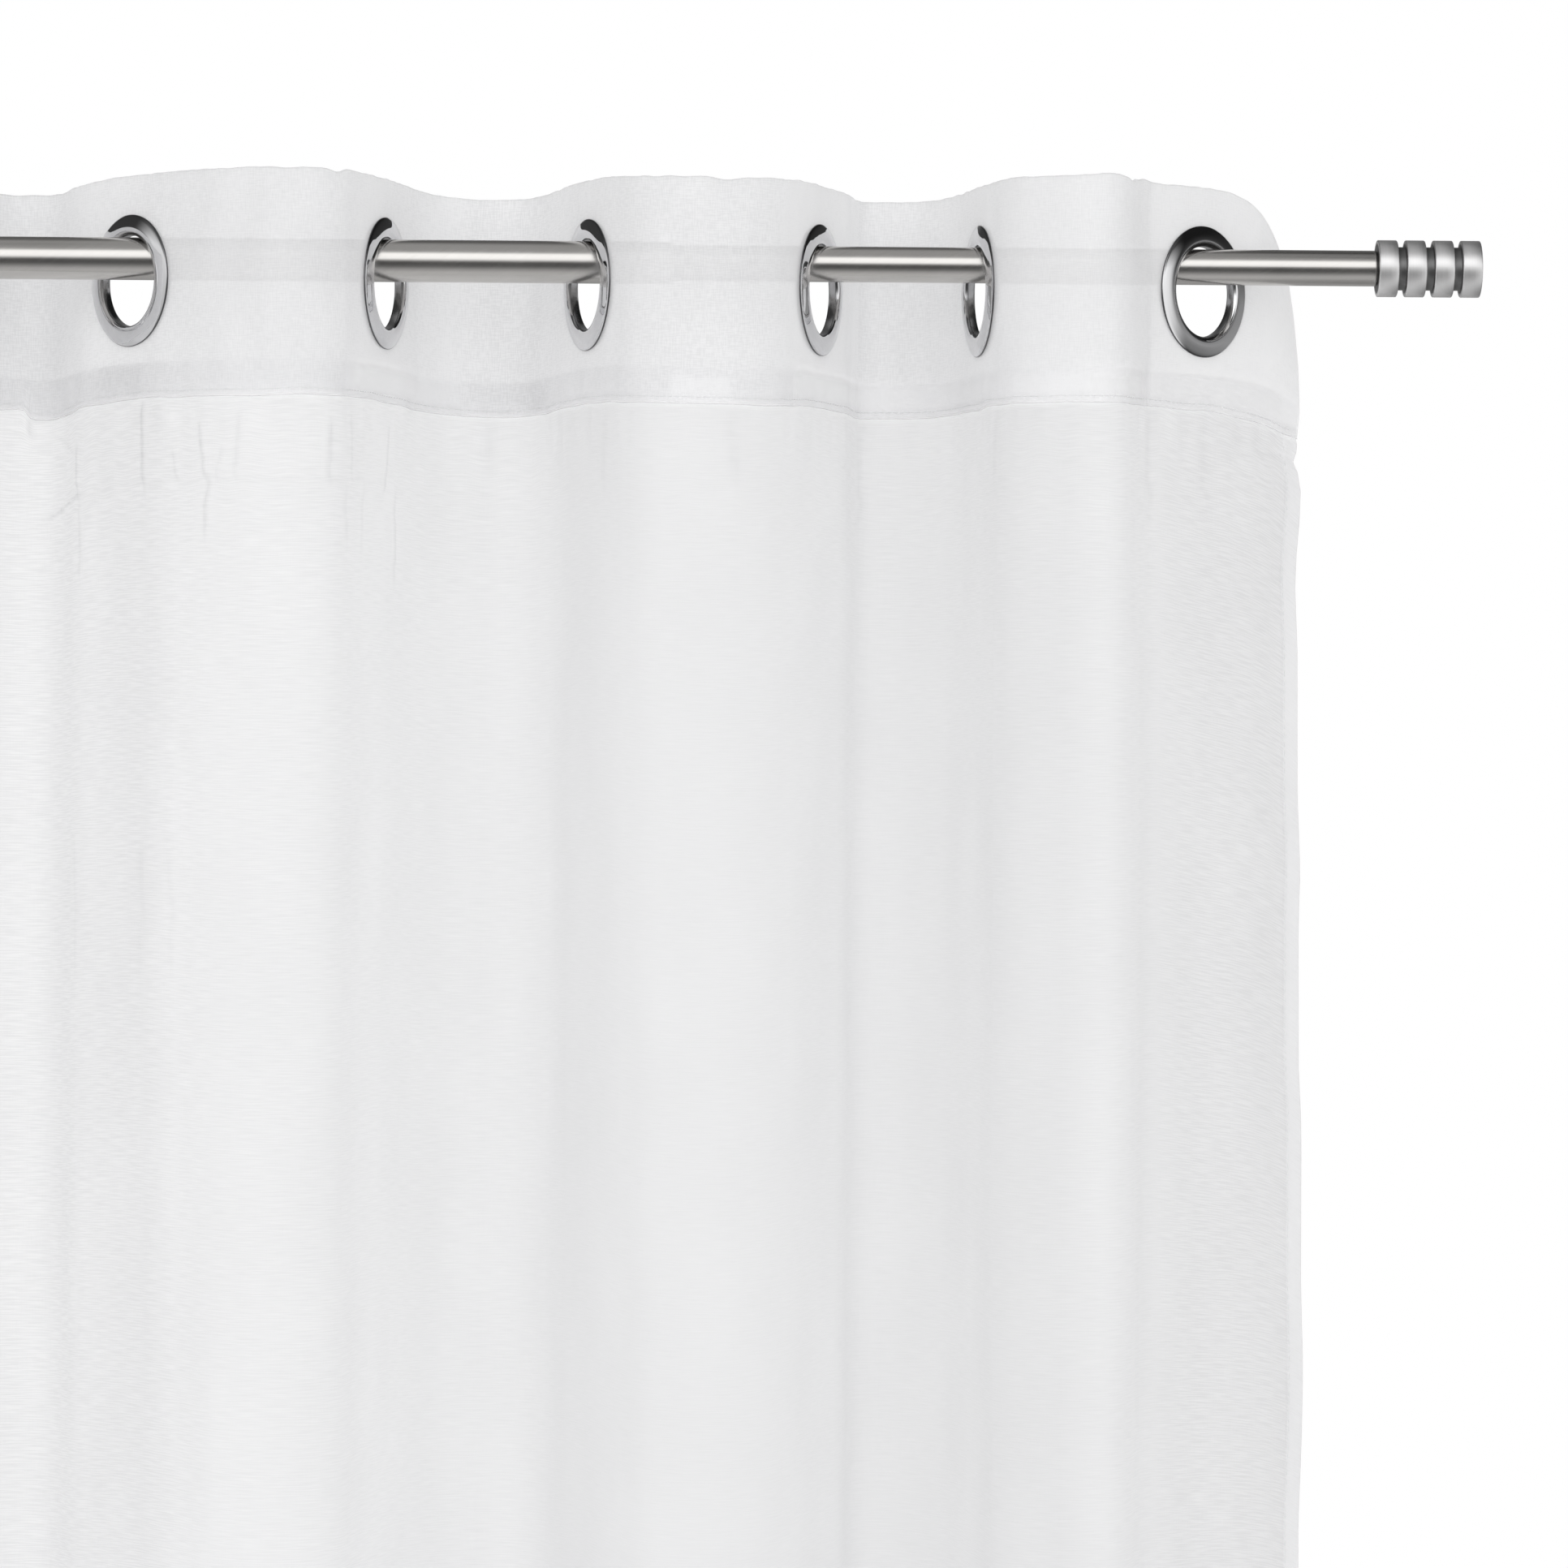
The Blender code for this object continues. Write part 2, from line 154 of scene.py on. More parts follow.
def mix_shaders(tree, factor, first, second):
    made = add_node(tree, "ShaderNodeMixShader", Fac=factor)
    for shader, index in ((first, 1), (second, 2)):
        tree.links.new(shader.outputs[0], made.inputs[index])
    return made


def ramp_node(tree, factor, stops):
    """A grey colour ramp from (position, grey) pairs."""
    made = add_node(tree, "ShaderNodeValToRGB", Fac=factor)
    elements = made.color_ramp.elements
    while len(elements) < len(stops):
        elements.new(0.5)
    for element, (position, grey) in zip(elements, stops):
        element.position = position
        element.color = (grey, grey, grey, 1)
    return made.outputs["Color"]


def step_node(tree, value, start, end):
    """0 below start, 1 above end, and a soft step between them."""
    settings = {"interpolation_type": "SMOOTHSTEP"}
    made = add_node(tree, "ShaderNodeMapRange", settings, Value=value, From_Min=start, From_Max=end)
    return made.outputs["Result"]


def length_node(tree, vector):
    return add_node(tree, "ShaderNodeVectorMath", {"operation": "LENGTH"}, Vector=vector).outputs["Value"]


def noise_node(tree, place, scale, detail):
    return add_node(tree, "ShaderNodeTexNoise", Vector=place, Scale=scale, Detail=detail).outputs["Fac"]


def bump_node(tree, height, distance, strength):
    return add_node(tree, "ShaderNodeBump", Height=height, Distance=distance, Strength=strength).outputs[0]


def own_place(tree):
    """Where each point lies on its own piece."""
    return add_node(tree, "ShaderNodeTexCoord").outputs["Object"]


def attribute_node(tree, name):
    """A value that the mesh keeps at its points."""
    return add_node(tree, "ShaderNodeAttribute", {"attribute_name": name}).outputs["Fac"]


print("node helpers ready")

# %% [markdown]
# ## The studio
#
# The photograph is a packshot: a white surround, soft light from everywhere with a little more from the left,
# and polished metal that mirrors pale and dark boards. Cloth only needs the soft light, but chrome is nothing
# without something to mirror. So the surround is plain white where the camera looks past the curtain, soft
# light for the cloth that is strongest straight in front and weaker behind, and a set of boards for mirrors.
# Each board is a list of height angles in degrees and the grey at each. The room is divided by the angle to
# the side: straight ahead a lit board hangs above a dark gap, a white board stands at the front right and a
# dimmer one at the front left, and both sides are dark above eye level. Each zone says on which side it is,
# at which angles its board starts to show and shows in full, and which board that is.

# %% Surround
EVEN_LIGHT = 0.67
FRONT_LIGHT = 1.35
BACK_LIGHT = 0.45
LIGHT_FOCUS = 4
BAND_STRENGTH = 1.6
FRONT_BANDS = (
    (-90, 0.66), (-66, 0.62), (-47, 0.38), (-33, 0.14), (-22, 0.08), (-7, 0.08), (0, 0.45), (8, 1.5),
    (36, 1.6), (46, 0.52), (54, 0.41), (90, 0.42),
)
RIGHT_BOARD = ((-90, 0.55), (-60, 0.55), (-42, 0.9), (14, 1.1), (26, 0.10), (62, 0.05), (90, 0.42))
RIGHT_BANDS = (
    (-90, 0.45), (-50, 0.04), (-26, 0.12), (-10, 0.34), (2, 0.28), (10, 0.05), (24, 0.012), (62, 0.012),
    (72, 0.08), (90, 0.42),
)
LEFT_BOARD = ((-90, 0.50), (-50, 0.28), (-28, 0.45), (18, 0.85), (28, 0.12), (62, 0.06), (90, 0.42))
LEFT_BANDS = (
    (-90, 0.50), (-45, 0.22), (-12, 0.36), (6, 0.26), (12, 0.05), (40, 0.03), (62, 0.16), (90, 0.42),
)
BACK_BANDS = ((-90, 0.55), (-40, 0.42), (0, 0.30), (22, 0.18), (62, 0.12), (90, 0.42))
ZONES = (
    (1, 28, 38, RIGHT_BOARD),
    (1, 58, 82, RIGHT_BANDS),
    (1, 148, 168, BACK_BANDS),
    (-1, 28, 50, LEFT_BOARD),
    (-1, 86, 106, LEFT_BANDS),
    (-1, 148, 170, BACK_BANDS),
)


def band_ramp(tree, height, bands):
    """A ramp over the height of a direction, from straight down to straight up."""
    stops = [((math.sin(math.radians(angle)) + 1) / 2, grey / BAND_STRENGTH) for angle, grey in bands]
    return ramp_node(tree, height, stops)


world = bpy.data.worlds.new("studio surround")
bpy.context.scene.world = world
world.use_nodes = True
tree = world.node_tree
direction = add_node(tree, "ShaderNodeTexCoord").outputs["Generated"]
split = add_node(tree, "ShaderNodeSeparateXYZ", Vector=direction)
height = sum_node(tree, "MULTIPLY_ADD", split.outputs["Z"], 0.5, 0.5)
towards = sum_node(tree, "MULTIPLY", split.outputs["Y"], -1)
aside = sum_node(tree, "DEGREES", sum_node(tree, "ARCTAN2", split.outputs["X"], towards))
boards = band_ramp(tree, height, FRONT_BANDS)
for side, start, full, bands in ZONES:
    turned = sum_node(tree, "MULTIPLY", aside, side)
    boards = mix_colour(tree, step_node(tree, turned, start, full), boards, band_ramp(tree, height, bands))
scaling = {"operation": "SCALE"}
lit_boards = add_node(tree, "ShaderNodeVectorMath", scaling, Vector=boards, Scale=BAND_STRENGTH)
ahead = sum_node(tree, "POWER", sum_node(tree, "MAXIMUM", towards, 0), LIGHT_FOCUS)
astern = sum_node(tree, "POWER", sum_node(tree, "MAXIMUM", split.outputs["Y"], 0), LIGHT_FOCUS)
soft = sum_node(tree, "MULTIPLY_ADD", astern, BACK_LIGHT, EVEN_LIGHT)
soft = sum_node(tree, "MULTIPLY_ADD", ahead, FRONT_LIGHT, soft)
soft = add_node(tree, "ShaderNodeCombineXYZ", X=soft, Y=soft, Z=soft).outputs[0]
ray = add_node(tree, "ShaderNodeLightPath")
seen = mix_colour(tree, ray.outputs["Is Glossy Ray"], soft, lit_boards.outputs[0])
seen = mix_colour(tree, ray.outputs["Is Camera Ray"], seen, (1, 1, 1, 1))
plug(tree, seen, tree.nodes["Background"].inputs["Color"])
bpy.context.scene.view_settings.view_transform = "Standard"
print("surround nodes:", len(tree.nodes))

# %% [markdown]
# One large soft lamp stands to the left, in front and above. It makes the left of each wave a little lighter
# than the right, as in the photograph. Mirrors don't see it, because the bands already hold their boards.

# %% Key lamp
KEY_PLACE = Vector((-2.6, -2.4, 1.3))
KEY_POWER = 8
KEY_SIZE = 1.8

lamp_data = bpy.data.lights.new("key lamp", "AREA")
lamp_data.energy = KEY_POWER
lamp_data.size = KEY_SIZE
lamp = bpy.data.objects.new("key lamp", lamp_data)
bpy.context.scene.collection.objects.link(lamp)
lamp.location = KEY_PLACE
lamp.rotation_euler = (PICTURE_MIDDLE - KEY_PLACE).to_track_quat("-Z", "Y").to_euler()
lamp.visible_glossy = False
print("key lamp at", tuple(round(value, 2) for value in KEY_PLACE))

# %% [markdown]
# ## Helpers for modelling
#
# Operators work on whatever is selected, and loading the model leaves its nodes selected. So each new piece
# starts from a cleared selection. Turned metal pieces all grow the same way, as on a lathe: a circle is
# extruded ring by ring along an outline of (place along the axis, radius) pairs. Spin would also do it, but
# ring by ring keeps every loop at a known place.

# %% Modelling helpers
def start_clean():
    """Leaves edit mode and deselects everything."""
    if bpy.context.mode != "OBJECT":
        bpy.ops.object.mode_set(mode="OBJECT")
    bpy.ops.object.select_all(action="DESELECT")


def choose(obj):
    start_clean()
    obj.select_set(True)
    bpy.context.view_layer.objects.active = obj


def select_open_edges(obj):
    """In edit mode, selects only the edges with a face on one side."""
    bpy.ops.mesh.select_all(action="DESELECT")
    work = bmesh.from_edit_mesh(obj.data)
    for edge in work.edges:
        edge.select_set(edge.is_boundary)
    bmesh.update_edit_mesh(obj.data)


def turn_on_lathe(name, outline, sides, hollow):
    """A turned piece about Z, from (along, radius) pairs in millimetres; a hollow one closes on itself."""
    start_clean()
    along, radius = outline[0]
    bpy.ops.mesh.primitive_circle_add(vertices=sides, radius=radius * MM, location=(0, 0, 0))
    obj = bpy.context.object
    obj.name = name
    bpy.ops.object.mode_set(mode="EDIT")
    bpy.ops.mesh.select_all(action="SELECT")
    bpy.ops.transform.translate(value=(0, 0, along * MM))
    for next_along, next_radius in outline[1:]:
        step = {"value": (0, 0, (next_along - along) * MM)}
        bpy.ops.mesh.extrude_edges_move(TRANSFORM_OT_translate=step)
        grow = next_radius / radius
        bpy.ops.transform.resize(value=(grow, grow, 1), center_override=(0, 0, next_along * MM))
        along, radius = next_along, next_radius
    select_open_edges(obj)
    if hollow:
        bpy.ops.mesh.bridge_edge_loops()
    else:
        bpy.ops.mesh.edge_face_add()
    bpy.ops.mesh.select_all(action="SELECT")
    bpy.ops.mesh.normals_make_consistent(inside=False)
    start_clean()
    return obj


def smooth_piece(obj, degrees):
    choose(obj)
    bpy.ops.object.shade_smooth_by_angle(angle=math.radians(degrees))


def set_in_place(obj, centre, rotation):
    """Turns and moves a piece, and then puts its place in its mesh."""
    choose(obj)
    obj.location = centre
    obj.rotation_euler = rotation
    bpy.ops.object.transform_apply(location=True, rotation=True, scale=True)


def own_copy(obj, name):
    made = obj.copy()
    made.data = obj.data.copy()
    made.name = name
    bpy.context.scene.collection.objects.link(made)
    return made


def finish_piece(obj, material, node):
    """Gives a piece its material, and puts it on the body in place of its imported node."""
    obj.data.materials.clear()
    obj.data.materials.append(material)
    obj.data.name = obj.name
    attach(obj, "root")
    if node:
        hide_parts(node)
    return obj


print("modelling helpers ready")

# %% [markdown]
# ## The line of the hung cloth
#
# Seen from above, the cloth crosses the rod at every eyelet and swings out between them, to the front and to
# the back by turns. Nearly flat stretches at the eyelets are joined by smooth waves whose depth follows from
# the length of cloth between them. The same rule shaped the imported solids, so its numbers are repeated here
# and the fine cloth falls exactly where the solids are. Each eyelet has its place along the rod, the turn of
# its cloth, the nose of the wave on its right, that wave's sag, and how far it has wandered at the bottom.

# %% Measures of the curtain
CUT_WIDTH = 1400 * MM
DROP = 2450 * MM
HEADING_DEPTH = 100 * MM
EYELET_DEPTH = 47 * MM
EYELET_PITCH = 180 * MM
SIDE_MARGIN = 70 * MM
SIDE_HEM = 12 * MM
BOTTOM_HEM = 60 * MM
FLAT_HALF = 31 * MM
EYELETS = (
    (-338, 47, 0.51, 2.0, -6),
    (-238, 68, 0.48, 3.0, 3),
    (-141.5, 52, 0.62, 1.0, -2),
    (-29, 72, 0.54, 3.0, -5),
    (62.5, 70, 0.47, 3.0, 4),
    (165.5, 69, 0.44, 1.0, -3),
    (238, 80, 0.47, 0.5, 4),
    (337.5, 45, 0.50, 0.0, 5),
)
EYELET_X, TURNS, NOSES, SAGS, SWAYS = (np.array(column) for column in zip(*EYELETS))
SIDES = np.array([-1 if index % 2 == 0 else 1 for index in range(len(EYELETS))])
EYELET_PLACES = SIDE_MARGIN + EYELET_PITCH * np.arange(len(EYELETS))
RELAXED_TURN = 68
RELAX_START = 700 * MM
NOSE_FULLNESS = 0.6
FLAT_FULLNESS = 0.42
FLAP_CURL = 5
CORNER_CURL = 12
CORNER_FADE = 1.4
CORNER_DROOP = 32 * MM
SIDE_DROOP = 9 * MM
DROOP_POWER = 3
CURVE_STEPS = 60
HALVINGS = 30


def eyelet_box_middle(index):
    low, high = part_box(f"eyelet_{index + 1}_front")
    return (low.z + high.z) / 2


EYELET_HEIGHTS = [eyelet_box_middle(index) for index in range(len(EYELETS))]
print("eyelet heights in mm:", [round(value / MM, 1) for value in EYELET_HEIGHTS])

# %% [markdown]
# A wave is two Bezier curves that meet at its nose. Its depth is found by halving: try a depth, measure the
# curve, and go deeper or shallower until it is as long as the cloth that has to fit into it.

# %% One wave of the cloth
def ease(value):
    value = min(max(value, 0.0), 1.0)
    return value * value * (3 - 2 * value)


def bezier(points):
    """Points along a cubic curve, leaving out its first one."""
    t = np.linspace(0, 1, CURVE_STEPS + 1)[1:, None]
    a, b, c, d = (np.array(point) for point in points)
    return a * (1 - t) ** 3 + 3 * b * t * (1 - t) ** 2 + 3 * c * t**2 * (1 - t) + d * t**3


def wave_curve(start, start_way, end, end_way, nose):
    first = FLAT_FULLNESS * math.dist(start, nose)
    second = FLAT_FULLNESS * math.dist(nose, end)
    reach = NOSE_FULLNESS * (end[0] - start[0]) / 2
    before, after = (nose[0] - reach, nose[1]), (nose[0] + reach, nose[1])
    halves = [
        bezier([start, start + first * start_way, before, nose]),
        bezier([nose, after, end - second * end_way, end]),
    ]
    return np.vstack([start[None], *halves])


def fitted_wave(start, start_way, end, end_way, nose_x, side):
    """The wave whose nose is as deep as the cloth between the two flat stretches allows."""
    shallow, deep = 0.0, EYELET_PITCH
    for _ in range(HALVINGS):
        depth = (shallow + deep) / 2
        curve = wave_curve(start, start_way, end, end_way, np.array((nose_x, side * depth)))
        if np.linalg.norm(np.diff(curve, axis=0), axis=1).sum() < EYELET_PITCH - 2 * FLAT_HALF:
            shallow = depth
        else:
            deep = depth
    return curve


def flap_curve(start, way, curl):
    """The free end past the last eyelet, turning by curl on its way to the side edge."""
    stride = (SIDE_MARGIN - FLAT_HALF) / CURVE_STEPS
    angles = math.atan2(way[1], way[0]) + curl * (np.arange(CURVE_STEPS) + 0.5) / CURVE_STEPS
    steps = stride * np.stack([np.cos(angles), np.sin(angles)], axis=1)
    return start + np.vstack([[[0, 0]], np.cumsum(steps, axis=0)])


print("one wave takes", round((EYELET_PITCH - 2 * FLAT_HALF) / MM), "mm of cloth")

# %% [markdown]
# Lower down the waves relax towards one even turn. The two top corners also curl and droop a little, because
# nothing holds them up past the last eyelets.

# %% The whole line at one depth
def corner_share(depth):
    """How much of the two top corners' curl and droop is left at this depth."""
    return max(0.0, 1 - depth / HEADING_DEPTH) ** CORNER_FADE


@functools.lru_cache(maxsize=None)
def cloth_waves(relaxed):
    """The middle of the line, from just before the first eyelet to just past the last one."""
    turns = np.radians(SIDES * (TURNS + (RELAXED_TURN - TURNS) * relaxed))
    centres = np.stack([(EYELET_X + SWAYS * relaxed) * MM, 0 * EYELET_X], axis=1)
    ways = np.stack([np.cos(turns), np.sin(turns)], axis=1)
    before, after = centres - FLAT_HALF * ways, centres + FLAT_HALF * ways
    pieces = [before[0][None], after[0][None]]
    for index in range(len(EYELETS) - 1):
        nose_x = centres[index][0] + NOSES[index] * (centres[index + 1][0] - centres[index][0])
        bounds = (after[index], ways[index], before[index + 1], ways[index + 1])
        pieces += [fitted_wave(*bounds, nose_x, SIDES[index])[1:], after[index + 1][None]]
    return np.vstack(pieces), ways


@functools.lru_cache(maxsize=None)
def cloth_line(depth):
    """Points of the line, the way that it runs at each, and their places along the cut width."""
    relaxed = ease((depth - RELAX_START) / (DROP - RELAX_START))
    curl = math.radians(FLAP_CURL * (1 - relaxed) + CORNER_CURL * corner_share(depth))
    middle, ways = cloth_waves(relaxed)
    left = flap_curve(middle[0], -ways[0], SIDES[0] * curl)[::-1]
    right = flap_curve(middle[-1], ways[-1], SIDES[-1] * curl)
    points = np.vstack([left[:-1], middle, right[1:]])
    steps = np.linalg.norm(np.diff(points, axis=0), axis=1)
    along = np.concatenate([[0], np.cumsum(steps)])
    along *= CUT_WIDTH / along[-1]
    ways = np.gradient(points, along, axis=0)
    return points, ways / np.linalg.norm(ways, axis=1)[:, None], along


print("the line has", len(cloth_line(HEADING_DEPTH)[0]), "points")

# %% [markdown]
# Cloth is never as smooth as a rule. Small uneven shapes are added to it: noise for what has no pattern, and
# short tables for what the photograph shows at one place. A layer of noise is four numbers: its height, the
# size of its lumps across and down, and one that picks the noise. A table is pairs of a place and a value,
# and the values between two places run straight. All places and sizes in both are in millimetres.

# %% Unevenness
def unevenness(places, depths, *layers):
    """The sum of layers of smooth noise over the cloth."""
    total = np.zeros(np.shape(places))
    for height, across, down, seed in layers:
        spots = zip((places / (across * MM)).ravel(), (depths / (down * MM)).ravel())
        values = [noise.noise((u, v, seed)) for u, v in spots]
        total += height * np.reshape(values, total.shape)
    return total


def from_table(values, table):
    return np.interp(values / MM, *zip(*table))


def fade(values, start, end):
    """A soft step from 0 at start to 1 at end, over an array."""
    share = np.clip((values - start) / (end - start), 0, 1)
    return share * share * (3 - 2 * share)


def hump(values, middle, width):
    return np.exp(-(((values - middle) / width) ** 2))


def from_ring(places, depths):
    """Distance from the nearest eyelet's centre, measured in the cloth."""
    nearest = EYELET_PLACES[np.abs(places[..., None] - EYELET_PLACES).argmin(axis=-1)]
    return np.hypot(places - nearest, depths - EYELET_DEPTH)


example = unevenness(np.array([0.5]), np.array([0.3]), (1, 30, 200, 1))
print("unevenness at one spot:", round(float(example[0]), 3))

# %% [markdown]
# Every cloth here is a grid of points: rows down the drop and columns along the cut width. Each point starts
# on the line for its row, is lifted to the front or back by its layer and its unevenness, and hangs below the
# eyelets. The seam between the two cloths wanders up and down a little, because its stitches pull, and both
# cloths share that wander. Three tables hold what has been pulled out of line: the right side edge sways, the
# seam steps where a hem or a fold drags it, and the top edge has a few nicks, each with its place, its rise
# and its half width. Each of these dies out within a short reach of the seam or the edge.

# %% Points of the hung cloth
SEAM_WANDER = (0.8, 21, 1, 4.3)
SEAM_WANDER_REACH, SEAM_STEPS_REACH = 9 * MM, 13 * MM
EDGE_ROUGHNESS = ((0.495, 7, 1, 14.2), (0.45, 19, 1, 15.7))
EDGE_REACH, NICK_REACH = 5 * MM, 9 * MM
EDGE_SWAY_WIDTH = 75 * MM
EDGE_SWAY_MM = (
    (0, 0), (40, 1.0), (60, 2.0), (88, 2.2), (98, 1.0), (106, 0.3), (111, -1.2), (116, 1.0), (125, 2.4),
    (139, 1.9), (154, 0.6), (169, 0.0), (198, 1.1), (263, 1.4), (299, 2.9), (321, 2.2), (387, 2.6),
    (416, 4.0), (488, 4.2), (525, 5.4), (561, 4.9), (598, 3.6), (720, 4.8), (900, 3.0), (1200, 4.5),
    (1700, 2.5), (2450, 2.0),
)
SEAM_STEPS_MM = (
    (0, 0), (320, 1.0), (336, 2.0), (340, -2.6), (352, -2.8), (385, -1.0), (425, 0), (1305, 0), (1345, -1.2),
    (1375, -2.8), (1388, -3.6), (1400, -1.5),
)
NICKS_MM = ((553, -1.6, 4), (890, -1.2, 5), (1246, 0.8, 9), (1266, -1.4, 5), (1286, 0.9, 8), (180, -1.3, 5))


def sag_and_droop(places, depths):
    """How far the cloth hangs below its eyelets: in the middle of each wave, and past the last ones."""
    wave = (places - SIDE_MARGIN) / EYELET_PITCH
    index = np.clip(np.floor(wave).astype(int), 0, len(SAGS) - 1)
    between = (wave > 0) & (wave < len(EYELETS) - 1)
    sag = SAGS[index] * MM * np.sin(np.pi * (wave - index)) ** 2 * between
    past = np.clip(np.abs(places - CUT_WIDTH / 2) - (CUT_WIDTH / 2 - SIDE_MARGIN), 0, None)
    share = np.vectorize(corner_share)(depths)
    return sag + (SIDE_DROOP + CORNER_DROOP * share) * (past / SIDE_MARGIN) ** DROOP_POWER


def hanging_height(places, depths):
    """Height of each point of the cloth, from its eyelets' heights, its sag and its uneven lines."""
    seam = unevenness(places, 0 * depths, SEAM_WANDER) * hump(depths, HEADING_DEPTH, SEAM_WANDER_REACH)
    seam += from_table(places, SEAM_STEPS_MM) * hump(depths, HEADING_DEPTH, SEAM_STEPS_REACH)
    edge = unevenness(places, 0 * depths, *EDGE_ROUGHNESS) * hump(depths, 0, EDGE_REACH)
    for place, rise, width in NICKS_MM:
        edge += rise * hump(places, place * MM, width * MM) * hump(depths, 0, NICK_REACH)
    rings = np.interp(places, EYELET_PLACES, EYELET_HEIGHTS)
    return rings + EYELET_DEPTH - depths - sag_and_droop(places, depths) + (seam + edge) * MM


def edge_sway(places, depths):
    """How far the right side edge has been pulled out of line."""
    return from_table(depths, EDGE_SWAY_MM) * MM * fade(places, CUT_WIDTH - EDGE_SWAY_WIDTH, CUT_WIDTH)


def hung_points(places, depths, lift):
    """Points [row, column] of a cloth, lifted towards its front."""
    rows = []
    for row_places, row_depths, row_lift in zip(places, depths, lift):
        line, ways, along = cloth_line(round(float(row_depths[0]), 5))
        x, y = (np.interp(row_places, along, line[:, axis]) for axis in (0, 1))
        way_x, way_y = (np.interp(row_places, along, ways[:, axis]) for axis in (0, 1))
        size = np.hypot(way_x, way_y)
        x = x + edge_sway(row_places, row_depths)
        rows.append(np.stack([x + row_lift * way_y / size, y - row_lift * way_x / size], axis=1))
    height = hanging_height(places, depths)
    return np.concatenate([np.array(rows), height[..., None]], axis=-1)


sample = hung_points(np.array([[0.0, 0.7, 1.4]]), np.full((1, 3), 0.1), np.zeros((1, 3)))
print("seam at the left edge, middle and right edge:", np.round(sample[0], 3).tolist())

# %% [markdown]
# A grid of points becomes a mesh with one square of cloth for each cell. It gets a map of the cut cloth in
# metres, so that a weave follows the cloth round every fold, and two values at each point: one for how
# closely the yarns lie there, which also carries painted shade and painted light, and one for how boldly
# their unevenness shows.

# %% Grid to cloth
def cloth_mesh(name, points, cut_places, cut_depths, values, kept=None):
    """A smooth mesh from a grid of points, with its cut map and named values at its points."""
    rows, columns = points.shape[:2]
    corners = np.arange(rows * columns).reshape(rows, columns)
    cells = np.stack([corners[:-1, :-1], corners[1:, :-1], corners[1:, 1:], corners[:-1, 1:]], axis=-1)
    cells = cells.reshape(-1, 4) if kept is None else cells[kept]
    used, cells = np.unique(cells, return_inverse=True)
    cells = cells.reshape(-1, 4)
    mesh = bpy.data.meshes.new(name)
    mesh.from_pydata(points.reshape(-1, 3)[used].tolist(), [], cells.tolist())
    mesh.polygons.foreach_set("use_smooth", np.ones(len(cells), bool))
    flat = np.stack([cut_places.ravel(), -cut_depths.ravel()], axis=1)[used]
    cut = mesh.uv_layers.new(name="cut")
    cut.data.foreach_set("uv", flat[cells.ravel()].astype(np.float32).ravel())
    for label, grid in values.items():
        layer = mesh.attributes.new(label, "FLOAT", "POINT")
        layer.data.foreach_set("value", grid.ravel()[used].astype(np.float32))
    mesh.update()
    made = bpy.data.objects.new(name, mesh)
    bpy.context.scene.collection.objects.link(made)
    return made


def grid_of(row_values, column_values):
    """Two values spread over a grid: one for each row, and one for each column."""
    columns, rows = np.meshgrid(np.array(column_values), np.array(row_values))
    return columns, rows


print("grid helper ready")

# %% [markdown]
# ## The weave
#
# Both cloths are plain weaves of uneven yarns. Close up, thicker lengths of yarn, called slubs, show as short
# streaks across the cloth, and finer ones as faint streaks down it. Streaks are noise that is drawn out one
# way. One node group makes them from the cut map, and each cloth sets how long and thick its own are.

# %% Weave group
TONE_CONTRAST = 2.2
DARK_ROUGHNESS, LIGHT_SMOOTHER = 0.95, 0.15


def new_group(name, inputs, outputs):
    """An empty node group with its named inputs and outputs."""
    group = bpy.data.node_groups.new(name, "ShaderNodeTree")
    for label, kind, value in inputs:
        socket = group.interface.new_socket(label, in_out="INPUT", socket_type=f"NodeSocket{kind}")
        if value is not None:
            socket.default_value = value
    for label in outputs:
        group.interface.new_socket(label, in_out="OUTPUT", socket_type="NodeSocketFloat")
    return group, group.nodes.new("NodeGroupInput").outputs, group.nodes.new("NodeGroupOutput").inputs


def streak_noise(tree, along, across, length, thickness, seed, detail):
    """Noise with streaks of this length and thickness, in metres."""
    x = sum_node(tree, "DIVIDE", along, length)
    y = sum_node(tree, "DIVIDE", across, thickness)
    spot = add_node(tree, "ShaderNodeCombineXYZ", X=x, Y=y, Z=seed)
    return noise_node(tree, spot.outputs[0], 1.0, detail)


weave, given, result = new_group(
    "uneven weave",
    (
        ("Cut map", "Vector", None),
        ("Slub length", "Float", 0.010),
        ("Slub thickness", "Float", 0.0006),
        ("Across share", "Float", 0.7),
        ("Contrast", "Float", 1.0),
    ),
    ("Tone", "Roughness", "Height"),
)
spot = add_node(weave, "ShaderNodeSeparateXYZ", Vector=given["Cut map"])
across, down = spot.outputs["X"], spot.outputs["Y"]
weft = streak_noise(weave, across, down, given["Slub length"], given["Slub thickness"], 0.0, 1.0)
warp = streak_noise(weave, down, across, given["Slub length"], given["Slub thickness"], 7.0, 1.0)
yarns = mix_value(weave, given["Across share"], warp, weft)
centred = sum_node(weave, "MULTIPLY", sum_node(weave, "SUBTRACT", yarns, 0.5), given["Contrast"])
tone = sum_node(weave, "MULTIPLY_ADD", centred, TONE_CONTRAST, 0.5, clamp=True)
plug(weave, tone, result["Tone"])
plug(weave, sum_node(weave, "MULTIPLY_ADD", tone, -LIGHT_SMOOTHER, DARK_ROUGHNESS), result["Roughness"])
plug(weave, yarns, result["Height"])
print("weave nodes:", len(weave.nodes))
